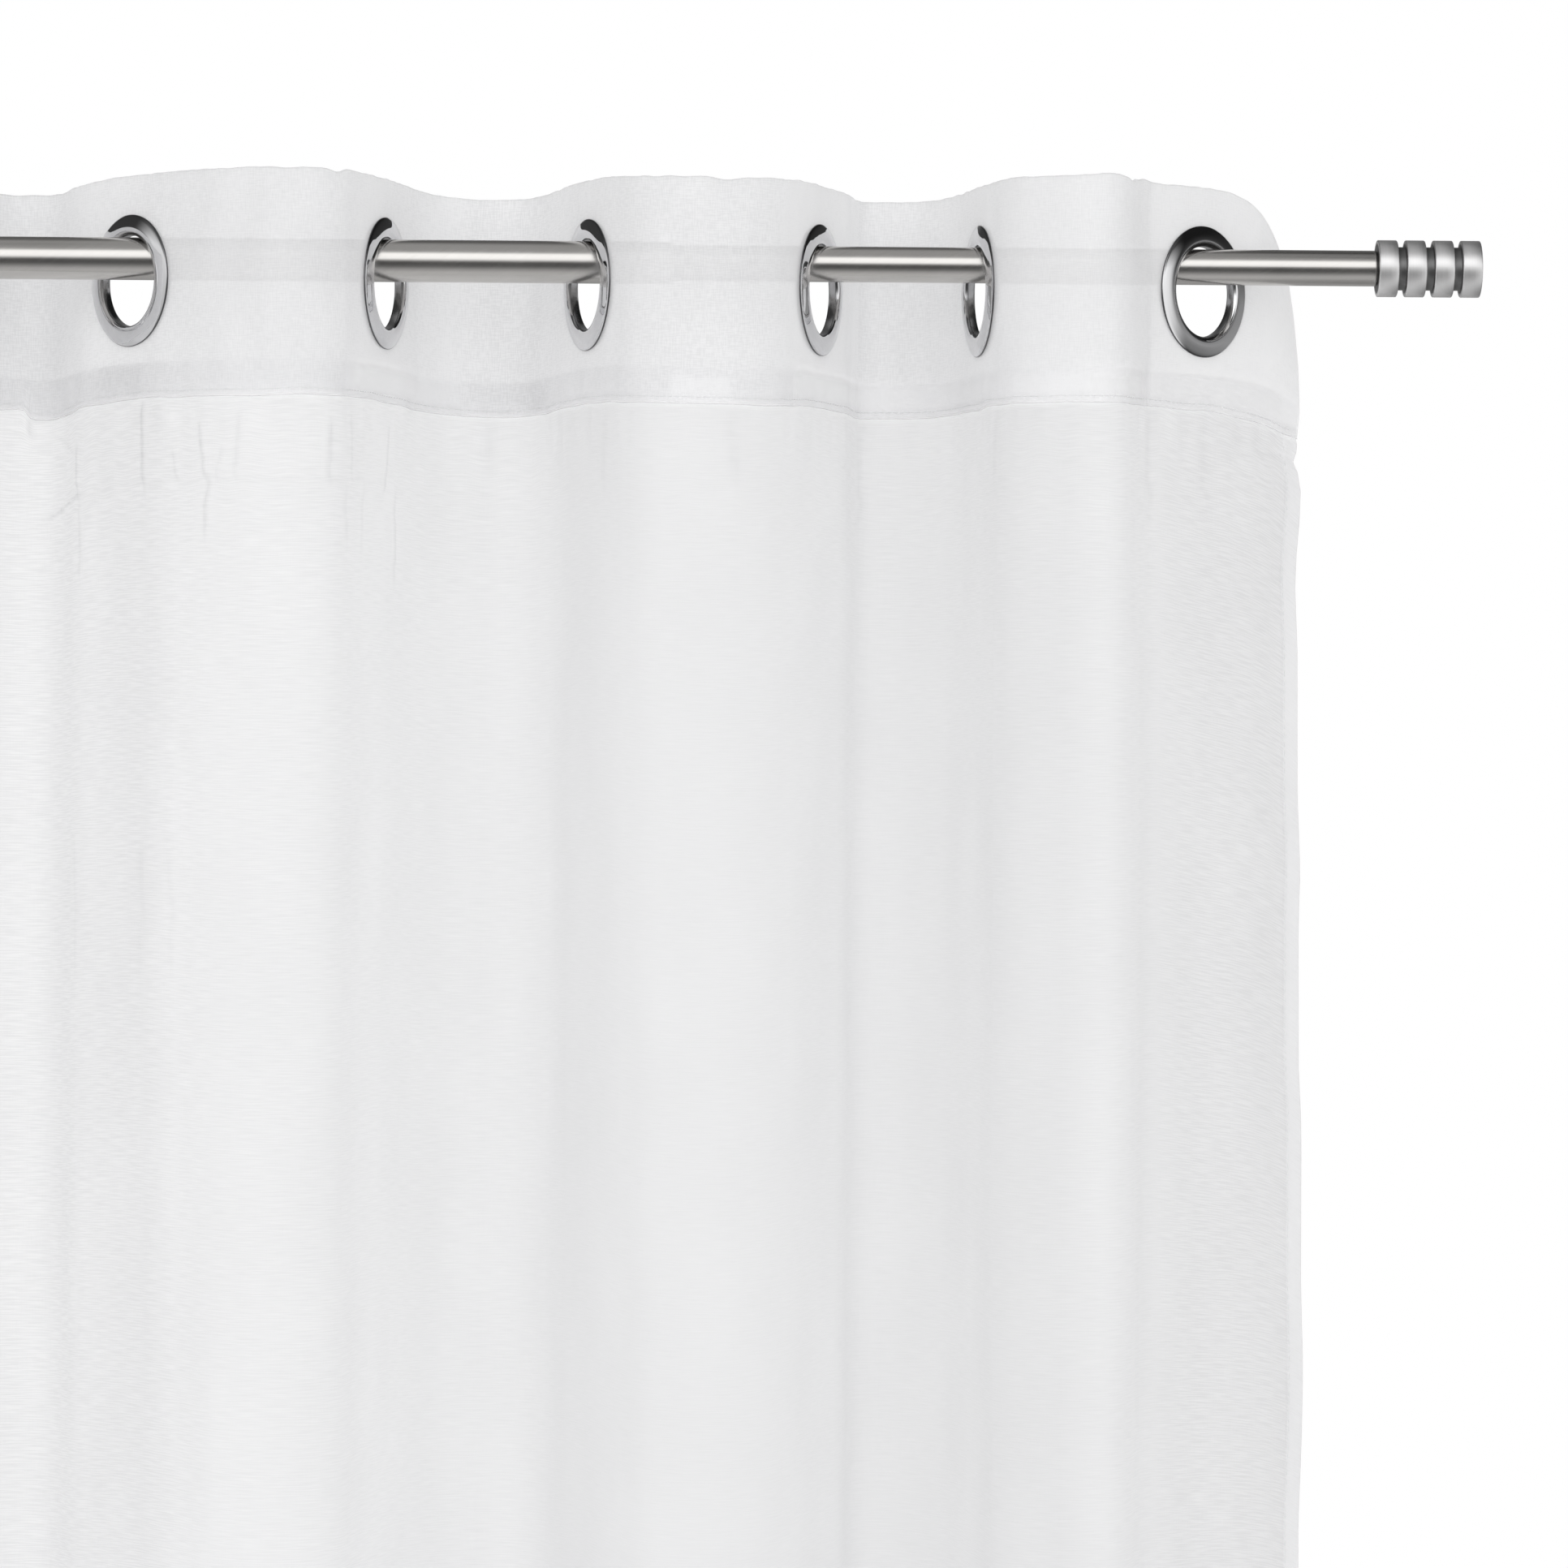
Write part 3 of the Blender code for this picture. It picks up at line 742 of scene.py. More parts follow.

# %% [markdown]
# Sheer cloth does three things with light: some passes straight between the yarns, some soaks through them
# and comes out soft, and the rest is scattered back. A Transparent, a Translucent and a Principled shader do
# one each. Glass-like transmission would be wrong, because yarn has no clear surface. The cloth is a little
# darker where the yarns lie closer and where shade is painted in, and lighter where light is painted in;
# where that value is lowest, more light passes straight through. The two cloths share their dark yarns, and
# differ in their slubs and in how much light a yarn stops.

# %% Cloth materials
# The last tone darkens the cloth by a value that holds how closely the yarns lie and also painted shade and
# painted light.
YARN_TONE, PLAIN_TONE, CLOSENESS_AND_SHADE_TONE = 0.26, 0.62, -0.24
CLOSENESS_OPAQUE, PLAIN_OPAQUE = 0.28, 1.28
DARK_YARN = (0.645, 0.645, 0.655, 1)
YARN_BUMP, YARN_BUMP_STRENGTH = 0.12 * MM, 0.6
YARN_GLOSS = 0.15
SOAKING = 0.45
SLUB_THICKNESS = 0.55 * MM


def new_material(name):
    material = bpy.data.materials.new(name)
    material.use_nodes = True
    material.use_backface_culling = False
    return material, material.node_tree, material.node_tree.nodes["Principled BSDF"]


def place_group(tree, group, **inputs):
    made = tree.nodes.new("ShaderNodeGroup")
    made.node_tree = group
    plug_all(tree, made, **inputs)
    return made.outputs


def cloth_material(name, light, opaque, **yarns):
    """A sheer cloth. Opaque is the share of light that a yarn stops."""
    material, tree, body = new_material(name)
    cut = add_node(tree, "ShaderNodeUVMap", {"uv_map": "cut"}).outputs["UV"]
    boldness = attribute_node(tree, "boldness")
    closeness_and_shade = attribute_node(tree, "closeness_and_shade")
    woven = place_group(tree, weave, Cut_map=cut, Contrast=boldness, Slub_thickness=SLUB_THICKNESS, **yarns)
    lightness = sum_node(tree, "MULTIPLY_ADD", woven["Tone"], YARN_TONE, PLAIN_TONE)
    # Painted shade and painted light go into the colour here, together with how closely the yarns lie.
    lightness = sum_node(tree, "MULTIPLY_ADD", closeness_and_shade, CLOSENESS_AND_SHADE_TONE, lightness, clamp=True)
    colour = mix_colour(tree, lightness, DARK_YARN, light)
    bump = bump_node(tree, woven["Height"], YARN_BUMP, YARN_BUMP_STRENGTH)
    plug_all(tree, body, Base_Color=colour, Roughness=woven["Roughness"], Normal=bump)
    plug_all(tree, body, Specular_IOR_Level=YARN_GLOSS)
    soaked = add_node(tree, "ShaderNodeBsdfTranslucent", Color=colour, Normal=bump)
    clear = add_node(tree, "ShaderNodeBsdfTransparent")
    loose = sum_node(tree, "MULTIPLY_ADD", closeness_and_shade, CLOSENESS_OPAQUE, PLAIN_OPAQUE, clamp=True)
    stopped = sum_node(tree, "MULTIPLY", loose, opaque)
    sheer = mix_shaders(tree, stopped, clear, mix_shaders(tree, SOAKING, body, soaked))
    tree.links.new(sheer.outputs[0], tree.nodes["Material Output"].inputs["Surface"])
    return material


crepe_light, strip_light = (0.98, 0.98, 0.985, 1), (0.985, 0.985, 0.99, 1)
crepe = cloth_material("sheer crepe", crepe_light, 0.78, Slub_length=0.013, Across_share=0.9)
strip_cloth = cloth_material("heading weave", strip_light, 0.72, Slub_length=0.005, Across_share=0.5)
print("cloth materials:", crepe.name, "and", strip_cloth.name)

# %% [markdown]
# ## The heading
#
# The heading is one strip of cloth, folded in two along the top edge. Both its lower edges are turned in, and
# the drop is sewn between them. Seen from its end it is a tall thin loop that stays open at the bottom. The
# list of rows follows that loop, from the turned edge inside the back layer, up the back, over the top and
# down the front. Two short lists give its rows, as depth and lift in millimetres, over the fold at the top
# and round the turned edge at the bottom. Each crease of the strip is its place, its top and bottom, its half
# width and its height.

# %% Heading section
TOP_FOLD_MM = ((0, 0), (0.06, 0.3), (0.3, 0.55), (1, 0.65))
TURNED_EDGE_MM = ((99.6, 0.29), (100, 0.27), (99.6, 0.25), (98.6, 0.24), (97, 0.24), (95, 0.24))
LAST_PLAIN_MM = 98.6
EDGE_TAPER_MM, TAPER_SPAN_MM = 0.35, (80, 99)
HEADING_ROWS = 34
RING_CALM, STRIP_FREE = 32 * MM, 46 * MM
STRIP_LUMPS = (0.9, 36, 60, 2.0)
STRIP_RIPPLES = (0.5, 12, 22, 5.0)
RIPPLES_FADE_IN = (55 * MM, 95 * MM)
HEADING_CREASES = (
    (519, -2, 106, 3.0, 0.45),
    (556, -2, 106, 3.0, 0.55),
    (655, 8, 92, 3.5, -0.4),
    (787, 6, 96, 3.5, 0.4),
    (1038, -2, 106, 3.2, 0.5),
    (1292, -2, 106, 3.0, -0.5),
)
CREASE_END_MM = 8
SIDE_ROUND = 1.5 * MM


def heading_rows():
    """(depth, lift) of each row along the loop."""
    top, layer = TOP_FOLD_MM[-1]
    plain = np.linspace(top, LAST_PLAIN_MM, HEADING_ROWS)[1:]
    tapered = [(depth, layer - EDGE_TAPER_MM * fade(depth, *TAPER_SPAN_MM)) for depth in plain]
    front = [*TOP_FOLD_MM, *tapered, *TURNED_EDGE_MM]
    back = [(depth, -lift) for depth, lift in reversed(front[1:])]
    return np.array(back + front) * MM


def heading_waver(places, depths):
    """The strip's unevenness away from the rings, which the top of the drop shares."""
    waver = unevenness(places, depths, STRIP_LUMPS)
    waver += unevenness(places, depths, STRIP_RIPPLES) * fade(depths, *RIPPLES_FADE_IN)
    for place, top, bottom, width, height in HEADING_CREASES:
        start = fade(depths / MM, top, top + CREASE_END_MM)
        end = fade(depths / MM, bottom - CREASE_END_MM, bottom)
        waver += height * start * (1 - end) * hump(places / MM, place, width)
    return waver * MM * fade(from_ring(places, depths), RING_CALM, STRIP_FREE)


def heading_relief(places, depths, lift):
    """How far each point stands to the front: its layer, and the strip's unevenness."""
    side_taper = np.sqrt(np.clip(np.minimum(places, CUT_WIDTH - places) / SIDE_ROUND, 0.01, 1))
    return heading_waver(places, depths) + lift * side_taper


section = heading_rows()
section_steps = np.hypot(*np.diff(section, axis=0).T)
heading_run = np.concatenate([[0], np.cumsum(section_steps)])
print("heading cut length in mm:", round(heading_run[-1] / MM))

# %% [markdown]
# The eyelet holes are punched before the rings go in. Cells near an eyelet's centre are left out, and the
# points round each gap move onto a true circle, which the ring's flange will cover.

# %% Holes in the heading
HOLE_RADIUS = 22.5 * MM
HOLE_MARGIN = 0.3 * MM
HEADING_COLUMNS = 521
SIDE_COLUMNS = np.array([0, 0.4, 1.2]) * MM

columns = np.linspace(0, CUT_WIDTH, HEADING_COLUMNS)[1:-1]
columns = np.concatenate([SIDE_COLUMNS, columns, CUT_WIDTH - SIDE_COLUMNS[::-1]])
places, depths = grid_of(section[:, 0], columns)
_, lift = grid_of(section[:, 1], columns)
cell_places = (places[1:, 1:] + places[:-1, :-1]) / 2
cell_depths = (depths[1:, 1:] + depths[:-1, :-1]) / 2
kept = from_ring(cell_places, cell_depths) > HOLE_RADIUS + HOLE_MARGIN
padded = np.pad(kept.astype(int), 1, mode="edge")
around = padded[:-1, :-1] + padded[1:, :-1] + padded[:-1, 1:] + padded[1:, 1:]
rim = (around > 0) & (around < 4)
nearest = EYELET_PLACES[np.abs(places[rim][:, None] - EYELET_PLACES).argmin(axis=1)]
grow = HOLE_RADIUS / np.hypot(places[rim] - nearest, depths[rim] - EYELET_DEPTH)
places[rim] = nearest + grow * (places[rim] - nearest)
depths[rim] = EYELET_DEPTH + grow * (depths[rim] - EYELET_DEPTH)
print("cells punched out of the heading:", int((~kept).sum()))

# %% [markdown]
# Then each point gets a value that darkens and lightens the cloth: partly how closely its yarns lie, and
# partly painted shade and painted light in upright bands that rise and fall across the strip with the folds
# of the photograph. One table holds for the whole height of the strip. Above the seam the drop's top edge is
# tucked in between the layers, and a second table says how it changes the tone there, with painted light
# where the edges of folds would shade it. A third holds the paler patches right above the seam. The cloth is
# closer in the fold at the top. It is painted lighter just above the seam and round the turned edge at the
# bottom, where the layers fall into shade, and it is never looser than a limit, past which it would look
# clear. The inner layers of the turned edges are painted light and clear. The tables were set in a few
# rounds, until the tone of each upright band of cloth came near the photograph's.

# %% Heading cloth
# Painted shade and painted light as well as how closely the yarns lie: each value darkens or lightens the
# upright band of the strip at its place.
HEADING_CLOSENESS_AND_SHADE_MM = (
    (0, 0.0), (352, 0.0), (371, -0.8), (400, -0.9), (438, -0.65), (441, -0.4), (485, -0.5), (517, -0.05),
    (522, -0.1), (553, -0.3), (557, -0.7), (600, -1.2), (640, -0.8), (680, -0.9), (700, -0.3), (725, -0.3),
    (740, -0.75), (790, -0.8), (845, -0.6), (866, -0.2), (895, -0.3), (940, -1.3), (1038, -1.1), (1042, -0.5),
    (1067, -0.35), (1100, -0.7), (1160, -1.0), (1215, -0.3), (1256, -0.5), (1262, -0.9), (1288, -0.7),
    (1292, -0.3), (1296, -0.9), (1400, -1.0),
)
# Partly painted light: low values paint the strip lighter over the tucked edge, where the edges of folds
# would shade it.
TUCKED_STRIP_MM = (
    (330, -0.3), (352, -0.4), (375, -0.3), (395, 0.3), (410, 0.9), (437, 0.9), (440, 0.1), (470, 0.0),
    (560, -0.1), (570, -1.9), (600, -2.5), (640, -1.6), (680, -0.1), (725, 0.5), (745, 0.0), (862, -0.1),
    (930, -0.2), (945, -2.6), (985, -2.0), (1036, -1.6), (1044, -1.6), (1067, -1.1), (1130, -0.4),
    (1193, -0.4), (1240, -0.5), (1262, -2.0), (1280, -1.7), (1285, -0.6), (1292, -0.4), (1296, -1.1),
    (1400, -1.1),
)
PATCHES_MM = (
    (864, 0.0), (866, -0.8), (890, -0.8), (892, 0.0), (1195, 0.0), (1197, -0.3), (1240, -0.3), (1242, -0.9),
    (1287, -1.0), (1291, 0.0),
)
HEADING_BOLDNESS_MM = (
    (0, 2.0), (440, 3.2), (470, 2.2), (500, 1.5), (560, 1.6), (620, 2.6), (720, 3.4), (800, 2.0), (890, 2.8),
    (1000, 2.4), (1120, 2.2), (1200, 1.1), (1300, 1.2), (1400, 1.2),
)
STRIP_CLOUDS = (0.25, 14, 30, 3.0)
# The seam and fold values are painted light: the strip is painted lighter just above the seam and on the rows
# of its turned edge, where the layers fall into shade.
TOP_CLOSER, SEAM_PAINTED_LIGHT, FOLD_PAINTED_LIGHT = 1.2, 0.6, 2.4
# The first value is painted light: the inner layers of the turned edges get a light, clear colour.
INNER_PAINTED_LIGHT, LOOSEST = -3.0, -3.2
TOP_BAND, TUCKED_BAND, PATCH_BAND = (0, 1.2 * MM), (83 * MM, 85 * MM), (88.5 * MM, 90 * MM)
SEAM_BAND, FOLD_START = (94 * MM, 97 * MM), 98.9 * MM
INNER_LIFT, INNER_START = 0.26 * MM, 94 * MM

closeness_and_shade = from_table(places, HEADING_CLOSENESS_AND_SHADE_MM) + unevenness(places, depths, STRIP_CLOUDS)
closeness_and_shade += TOP_CLOSER * (1 - fade(depths, *TOP_BAND))
closeness_and_shade += from_table(places, TUCKED_STRIP_MM) * fade(depths, *TUCKED_BAND)
closeness_and_shade += from_table(places, PATCHES_MM) * fade(depths, *PATCH_BAND)
# Painted light just above the seam and round the turned edge.
closeness_and_shade -= SEAM_PAINTED_LIGHT * fade(depths, *SEAM_BAND) + FOLD_PAINTED_LIGHT * (depths > FOLD_START)
inner = (np.abs(lift) < INNER_LIFT) & (depths > INNER_START)
# Painted light: the inner layers take their light, clear value here.
closeness_and_shade = np.maximum(np.where(inner, INNER_PAINTED_LIGHT, closeness_and_shade), LOOSEST)
values = {"closeness_and_shade": closeness_and_shade, "boldness": from_table(places, HEADING_BOLDNESS_MM)}
_, cut_depths = grid_of(heading_run, columns)
points = hung_points(places, depths, heading_relief(places, depths, lift))
heading = cloth_mesh("heading_strip", points, places, cut_depths, values, kept=kept)
finish_piece(heading, strip_cloth, "heading")
print("heading faces:", len(heading.data.polygons))

# %% [markdown]
# ## The drop
#
# The drop is one sheer panel. Its side hems are turned to the back by 12 mm and sewn, its bottom hem by
# 60 mm, and its top edge runs up between the two layers of the heading. Each hem is really folded: extra
# columns lie behind the sides, and extra rows behind the bottom.

# %% Panel rows and columns
PANEL_LIFT = 0.05 * MM
SIDE_HEM_BACK = 0.35 * MM
BOTTOM_HEM_BACK = 1.1 * MM
EDGE_COLUMN = 0.4 * MM
HEM_FOLD = ((0.05, 0.25), (0.3, 0.75), (1.0, 1.0), (3.5, 1.0))


def stretch(*parts):
    """Numbers from (start, end, step) parts in millimetres, each without its end."""
    return np.concatenate([np.arange(start, end - step / 3, step) for start, end, step in parts]) * MM


def with_hem(values, fold, hem, back):
    """Adds the turned part of a hem past the fold: (value, how far back it lies) pairs."""
    inward = math.copysign(1, values[0] - fold)
    turned = [*HEM_FOLD, (0.55 * hem / MM, 1.0), (hem / MM, 1.0)]
    flat = [(value, 0.0) for value in values]
    return flat + [(fold, 0.08 * back)] + [(fold + inward * at * MM, share * back) for at, share in turned]


panel_depths = stretch((84, 96, 4), (96, 98, 2), (98, 106, 1), (106, 154, 1.2), (154, 220, 5), (220, 640, 12))
panel_depths = np.concatenate([panel_depths, stretch((640, 2388, 46)), [2388 * MM, 2391 * MM]])
panel_depths = np.concatenate([panel_depths, stretch((2396, 2448, 9), (2448, 2450, 0.7))])
panel_rows = with_hem(panel_depths, DROP, BOTTOM_HEM, BOTTOM_HEM_BACK)
inner_places = stretch((3, 9, 2), (9, 15, 1), (15, 335, 5), (335, 375, 2), (375, 632, 1.25), (632, 1385, 2.6))
inner_places = np.concatenate([inner_places, stretch((1385, 1391, 1), (1391, 1398, 2))])
right_side = with_hem(np.append(inner_places, CUT_WIDTH - EDGE_COLUMN), CUT_WIDTH, SIDE_HEM, SIDE_HEM_BACK)
left_side = with_hem(np.array([EDGE_COLUMN]), 0.0, SIDE_HEM, SIDE_HEM_BACK)
panel_columns = left_side[:0:-1] + [left_side[0]] + right_side
row_depths, row_back = np.array(panel_rows).T
column_places, column_back = np.array(panel_columns).T
print("panel rows and columns:", len(panel_rows), len(panel_columns))

# %% [markdown]
# The photograph shows where this panel is creased: short upright creases under the seam, a long one that
# runs level below them, and a few faint ones lower down. Each line of the first table is an upright crease:
# its place, its top and bottom, how far it leans, its half width and its height, all in millimetres. A real
# crease is no even ridge, so each one swells and thins like beads on a string, and wobbles off its line.

# %% Creases of the panel
UPRIGHT_CREASES = (
    (339, 97, 110, 2, 1.2, 0.8),
    (368, 109, 121, 24, 2.2, 0.3),
    (384, 117, 142, 2, 1.5, 0.6),
    (388, 142, 178, 1, 1.6, 0.35),
    (440, 101, 141, 1, 1.4, 0.8),
    (465, 123, 137, 4, 1.3, 0.4),
    (486, 112, 137, 5, 1.4, 0.7),
    (489, 135, 163, -3, 1.5, 0.65),
    (497, 122, 137, -4, 1.3, 0.25),
    (507, 107, 137, -2, 1.4, 0.35),
    (549, 111, 138, -1, 1.5, 0.5),
    (568, 107, 137, 1, 1.4, 0.3),
    (562, 138, 166, 2, 1.9, 0.25),
    (583, 138, 170, -2, 1.9, 0.25),
    (615, 110, 132, -2, 1.4, 0.55),
    (612, 130, 141, -5, 1.4, 0.55),
    (626, 140, 180, 1, 1.7, 0.5),
    (700, 102, 126, 2, 2.8, 0.25),
    (812, 102, 140, -3, 2.8, 0.2),
    (893, 102, 134, 4, 2.8, 0.2),
    (1044, 100, 150, -2, 2.8, 0.3),
    (1180, 102, 136, -2, 2.8, 0.2),
    (1292, 100, 150, 3, 2.8, -0.3),
    (1331, 102, 150, 4, 2.8, 0.15),
    (386, 300, 358, 2, 2.4, 0.25),
    (441, 296, 352, -2, 2.4, 0.25),
    (464, 302, 356, 2, 2.4, 0.2),
    (96, 104, 168, 3, 5.0, 0.5),
    (212, 103, 150, -3, 5.0, 0.4),
)
LEVEL_CREASE = ((340, 152), (352, 147), (372, 142), (383, 140), (425, 137.5), (470, 136.5), (625, 136))
LEVEL_START, LEVEL_BEND, LEVEL_END = (340, 356), (380, 400), (608, 625)
LEVEL_HEIGHT, LEVEL_WIDTH, LEVEL_FAINT = 0.6, 0.9, 0.22
CREASE_START, CREASE_END = (-0.15, 0.2), (0.75, 1.15)
BEAD_STEP = 2.3
knots = np.arange(0, 2500, BEAD_STEP)
CREASE_BEADS = (knots, 0.85 + unevenness(knots * MM, 0 * knots, (0.75, 2.9, 1, 21.0)))
CREASE_WOBBLE = (knots, unevenness(knots * MM, 0 * knots, (1.6, 9, 1, 23.0)))


def upright_creases(places, depths):
    total = 0 * places
    for place, top, bottom, lean, width, height in UPRIGHT_CREASES:
        share = (depths / MM - top) / (bottom - top)
        ends = fade(share, *CREASE_START) * (1 - fade(share, *CREASE_END))
        line = place + lean * (share - 0.5) + np.interp(depths / MM, *CREASE_WOBBLE) * width
        beads = np.interp(depths / MM + place, *CREASE_BEADS)
        total = total + height * ends * beads * hump(places / MM, line, width)
    return total


def level_crease(places, depths):
    """The long one: strong as far as its bend, and faint to the right of it."""
    ends = fade(places / MM, *LEVEL_START) * (1 - fade(places / MM, *LEVEL_END))
    strength = LEVEL_FAINT + (1 - LEVEL_FAINT) * (1 - fade(places / MM, *LEVEL_BEND))
    beads = np.interp(places / MM, *CREASE_BEADS)
    ridge = hump(depths / MM, from_table(places, LEVEL_CREASE), LEVEL_WIDTH)
    return LEVEL_HEIGHT * ends * strength * beads * ridge


def panel_creases(places, depths):
    """How far each point stands out through all the creases, in millimetres."""
    return upright_creases(places, depths) + level_crease(places, depths)


print("creases set by hand:", len(UPRIGHT_CREASES) + 1)

# %% [markdown]
# Besides its creases the panel has long shallow folds that fade in below the heading, and short puckers where
# the seam gathers it. Near its sides it is calmer, because the hems are stiffer than one layer of crepe.

# %% Panel relief
LONG_FOLDS = ((2.4, 62, 900, 1.5), (1.0, 26, 420, 6.5))
PUCKERS = (0.7, 8, 60, 3.5)
PUCKER_BAND = (108 * MM, 14 * MM)
CALM_SIDE, CALM_SPAN = 0.25, (10 * MM, 60 * MM)
FOLDS_FADE_IN = (100 * MM, 220 * MM)
SEAM_LETS_GO = (99 * MM, 105 * MM)
STRIP_FADES_OUT = (102 * MM, 130 * MM)
TUCKED_IN, TUCKED_END = 3 * MM, (98 * MM, 103 * MM)


def panel_relief(places, depths):
    """How far each point stands to the front through folds, puckers and creases."""
    side = fade(np.minimum(places, CUT_WIDTH - places), *CALM_SPAN)
    folds = unevenness(places, depths, *LONG_FOLDS) * (CALM_SIDE + (1 - CALM_SIDE) * side)
    puckers = unevenness(places, depths, PUCKERS) * hump(depths, *PUCKER_BAND)
    loose = fade(depths, *SEAM_LETS_GO) * (puckers + panel_creases(places, depths))
    shared = heading_waver(places, depths) * (1 - fade(depths, *STRIP_FADES_OUT))
    return shared + (fade(depths, *FOLDS_FADE_IN) * folds + loose) * MM


places, depths = grid_of(row_depths, column_places)
side_back, bottom_back = grid_of(row_back, column_back)
folded_row = bottom_back > 0.5 * BOTTOM_HEM_BACK
layer = PANEL_LIFT - bottom_back - np.where(folded_row, -side_back, side_back)
inset = 1 - (TUCKED_IN / CUT_WIDTH) * (1 - fade(depths, *TUCKED_END))
hung_places = CUT_WIDTH / 2 + (places - CUT_WIDTH / 2) * inset
points = hung_points(hung_places, depths, panel_relief(places, depths) + layer)
print("lowest point of the drop in m:", round(float(points[..., 2].min()), 3))

# %% [markdown]
# A crease is a fine darker line as well as a ridge: painted shade along the crease, and yarns that lie closer
# there. Again one table holds for the whole drop, partly for how closely the yarns lie and partly painted
# light, which makes the doubled side hems lighter. Another holds for its edge inside the heading, which shows
# through the front layer of the strip, and is partly painted light where the layers round the seam would
# shade it. The weave is boldest near the seam. The cut map is bent a little: right of the last eyelet the
# yarns run downhill, and under the seam they ripple.

# %% Panel cloth
# Partly painted light: the low values over the side hems paint the doubled cloth lighter.
PANEL_CLOSENESS_AND_LIGHT_MM = (
    (0, -0.8), (11.5, -0.8), (12.5, 0.1), (200, 0.0), (340, -0.3), (390, -0.2), (412, 0.25), (445, 0.5),
    (467, -0.3), (490, -0.3), (510, 0.1), (540, 0.2), (565, -0.5), (605, -0.8), (655, -0.5), (697, 0.25),
    (714, 0.0), (735, -0.3), (765, 0.4), (796, 0.45), (835, 0.05), (868, 0.5), (895, 0.45), (930, -0.4),
    (1000, -0.15), (1058, 0.4), (1095, -0.1), (1140, 0.0), (1180, 0.5), (1228, 1.1), (1262, -0.2),
    (1276, -0.3), (1293, 0.2), (1332, 0.75), (1387.5, 1.0), (1388.5, -1.0), (1400, -1.0),
)
# Partly painted light: low values paint the tucked edge and the cloth round the seam lighter, against the
# shade of the layers there.
TUCKED_EDGE_MM = (
    (0, -2.4), (11.5, -2.4), (12.5, -0.8), (340, 0.2), (448, 0.2), (470, -0.7), (1230, -0.7), (1300, -0.3),
    (1387.5, -0.2), (1388.5, -2.4), (1400, -2.4),
)
PANEL_BOLDNESS_MM = (
    (0, 1.5), (440, 2.6), (500, 1.1), (690, 0.9), (780, 0.5), (884, 0.4), (983, 0.6), (1230, 0.7),
    (1300, 1.0), (1335, 2.9), (1388, 3.0), (1390, 1.0), (1400, 1.0),
)
# Painted shade: each crease darkens the colour along its ridge.
CREASE_PAINTED_SHADE = 2.6
PANEL_CLOUDS = (0.25, 30, 45, 2.5)
INSIDE_END = (99.5 * MM, 102.5 * MM)
BOLD_BELOW, BOLD_AT_SEAM, BOLD_BAND = 0.75, 0.45, (110 * MM, 90 * MM)
FLAP_START, FLAP_SLOPE, SLOPE_END = 1300 * MM, 0.15, (300 * MM, 800 * MM)
YARN_RIPPLE, RIPPLE_BAND = (1.3, 11, 60, 12.0), (118 * MM, 40 * MM)

closeness_and_shade = from_table(places, PANEL_CLOSENESS_AND_LIGHT_MM) + unevenness(places, depths, PANEL_CLOUDS)
# Painted shade along each crease, together with yarns that lie closer there.
closeness_and_shade += CREASE_PAINTED_SHADE * np.abs(panel_creases(places, depths))
inside = 1 - fade(depths, *INSIDE_END)
# The edge inside the heading takes its tone, partly painted light, from its own table.
closeness_and_shade += inside * (from_table(places, TUCKED_EDGE_MM) - closeness_and_shade)
boldness = BOLD_BELOW + BOLD_AT_SEAM * hump(depths, *BOLD_BAND)
boldness = boldness * from_table(places, PANEL_BOLDNESS_MM)
values = {"closeness_and_shade": closeness_and_shade, "boldness": boldness}
column_run = np.concatenate([[0], np.cumsum(np.hypot(np.diff(column_places), np.diff(column_back)))])
row_run = np.concatenate([[0], np.cumsum(np.hypot(np.diff(row_depths), np.diff(row_back)))])
cut_places, cut_depths = grid_of(row_run, column_run)
slope = FLAP_SLOPE * np.clip(places - FLAP_START, 0, None) * (1 - fade(depths, *SLOPE_END))
ripple = MM * unevenness(places, depths, YARN_RIPPLE) * hump(depths, *RIPPLE_BAND)
panel = cloth_mesh("sheer_panel", points, cut_places, cut_depths - slope + ripple, values)
finish_piece(panel, crepe, "panel")
print("panel faces:", len(panel.data.polygons))

# %% [markdown]
# ## Brushed and polished metal
#
# Both tubes and the finials are brushed: fine scratches that all run one way break up the mirror image along
# that way. On the tubes they wind round at a slant, left by the belt that polished them, and on the finials
# they run straight round, left by the lathe. The scratches are drawn-out noise again, in the tube's own
# length and the angle round it. Wear and handling show as soft, slightly rougher clouds.

# %% Brushing group
CLOUD_SCALE = 45.0
MARK_ROUGHNESS, LEAST_ROUGHNESS = 0.24, 0.10

brushing, given, result = new_group(
    "brushing",
    (
        ("Place", "Vector", None),
        ("Radius", "Float", 0.0095),
        ("Slant", "Float", 0.5),
        ("Scratch length", "Float", 0.02),
        ("Scratch width", "Float", 0.0002),
        ("Cloud share", "Float", 0.35),
    ),
    ("Tone", "Roughness", "Height"),
)
spot = add_node(brushing, "ShaderNodeSeparateXYZ", Vector=given["Place"])
angle = sum_node(brushing, "ARCTAN2", spot.outputs["Y"], spot.outputs["Z"])
around = sum_node(brushing, "MULTIPLY", angle, given["Radius"])
cosine = sum_node(brushing, "COSINE", given["Slant"])
sine = sum_node(brushing, "SINE", given["Slant"])
run = sum_node(brushing, "MULTIPLY", spot.outputs["X"], cosine)
run = sum_node(brushing, "MULTIPLY_ADD", around, sine, run)
over = sum_node(brushing, "MULTIPLY", spot.outputs["X"], sine)
over = sum_node(brushing, "SUBTRACT", sum_node(brushing, "MULTIPLY", around, cosine), over)
scratches = streak_noise(brushing, run, over, given["Scratch length"], given["Scratch width"], 0.0, 4.0)
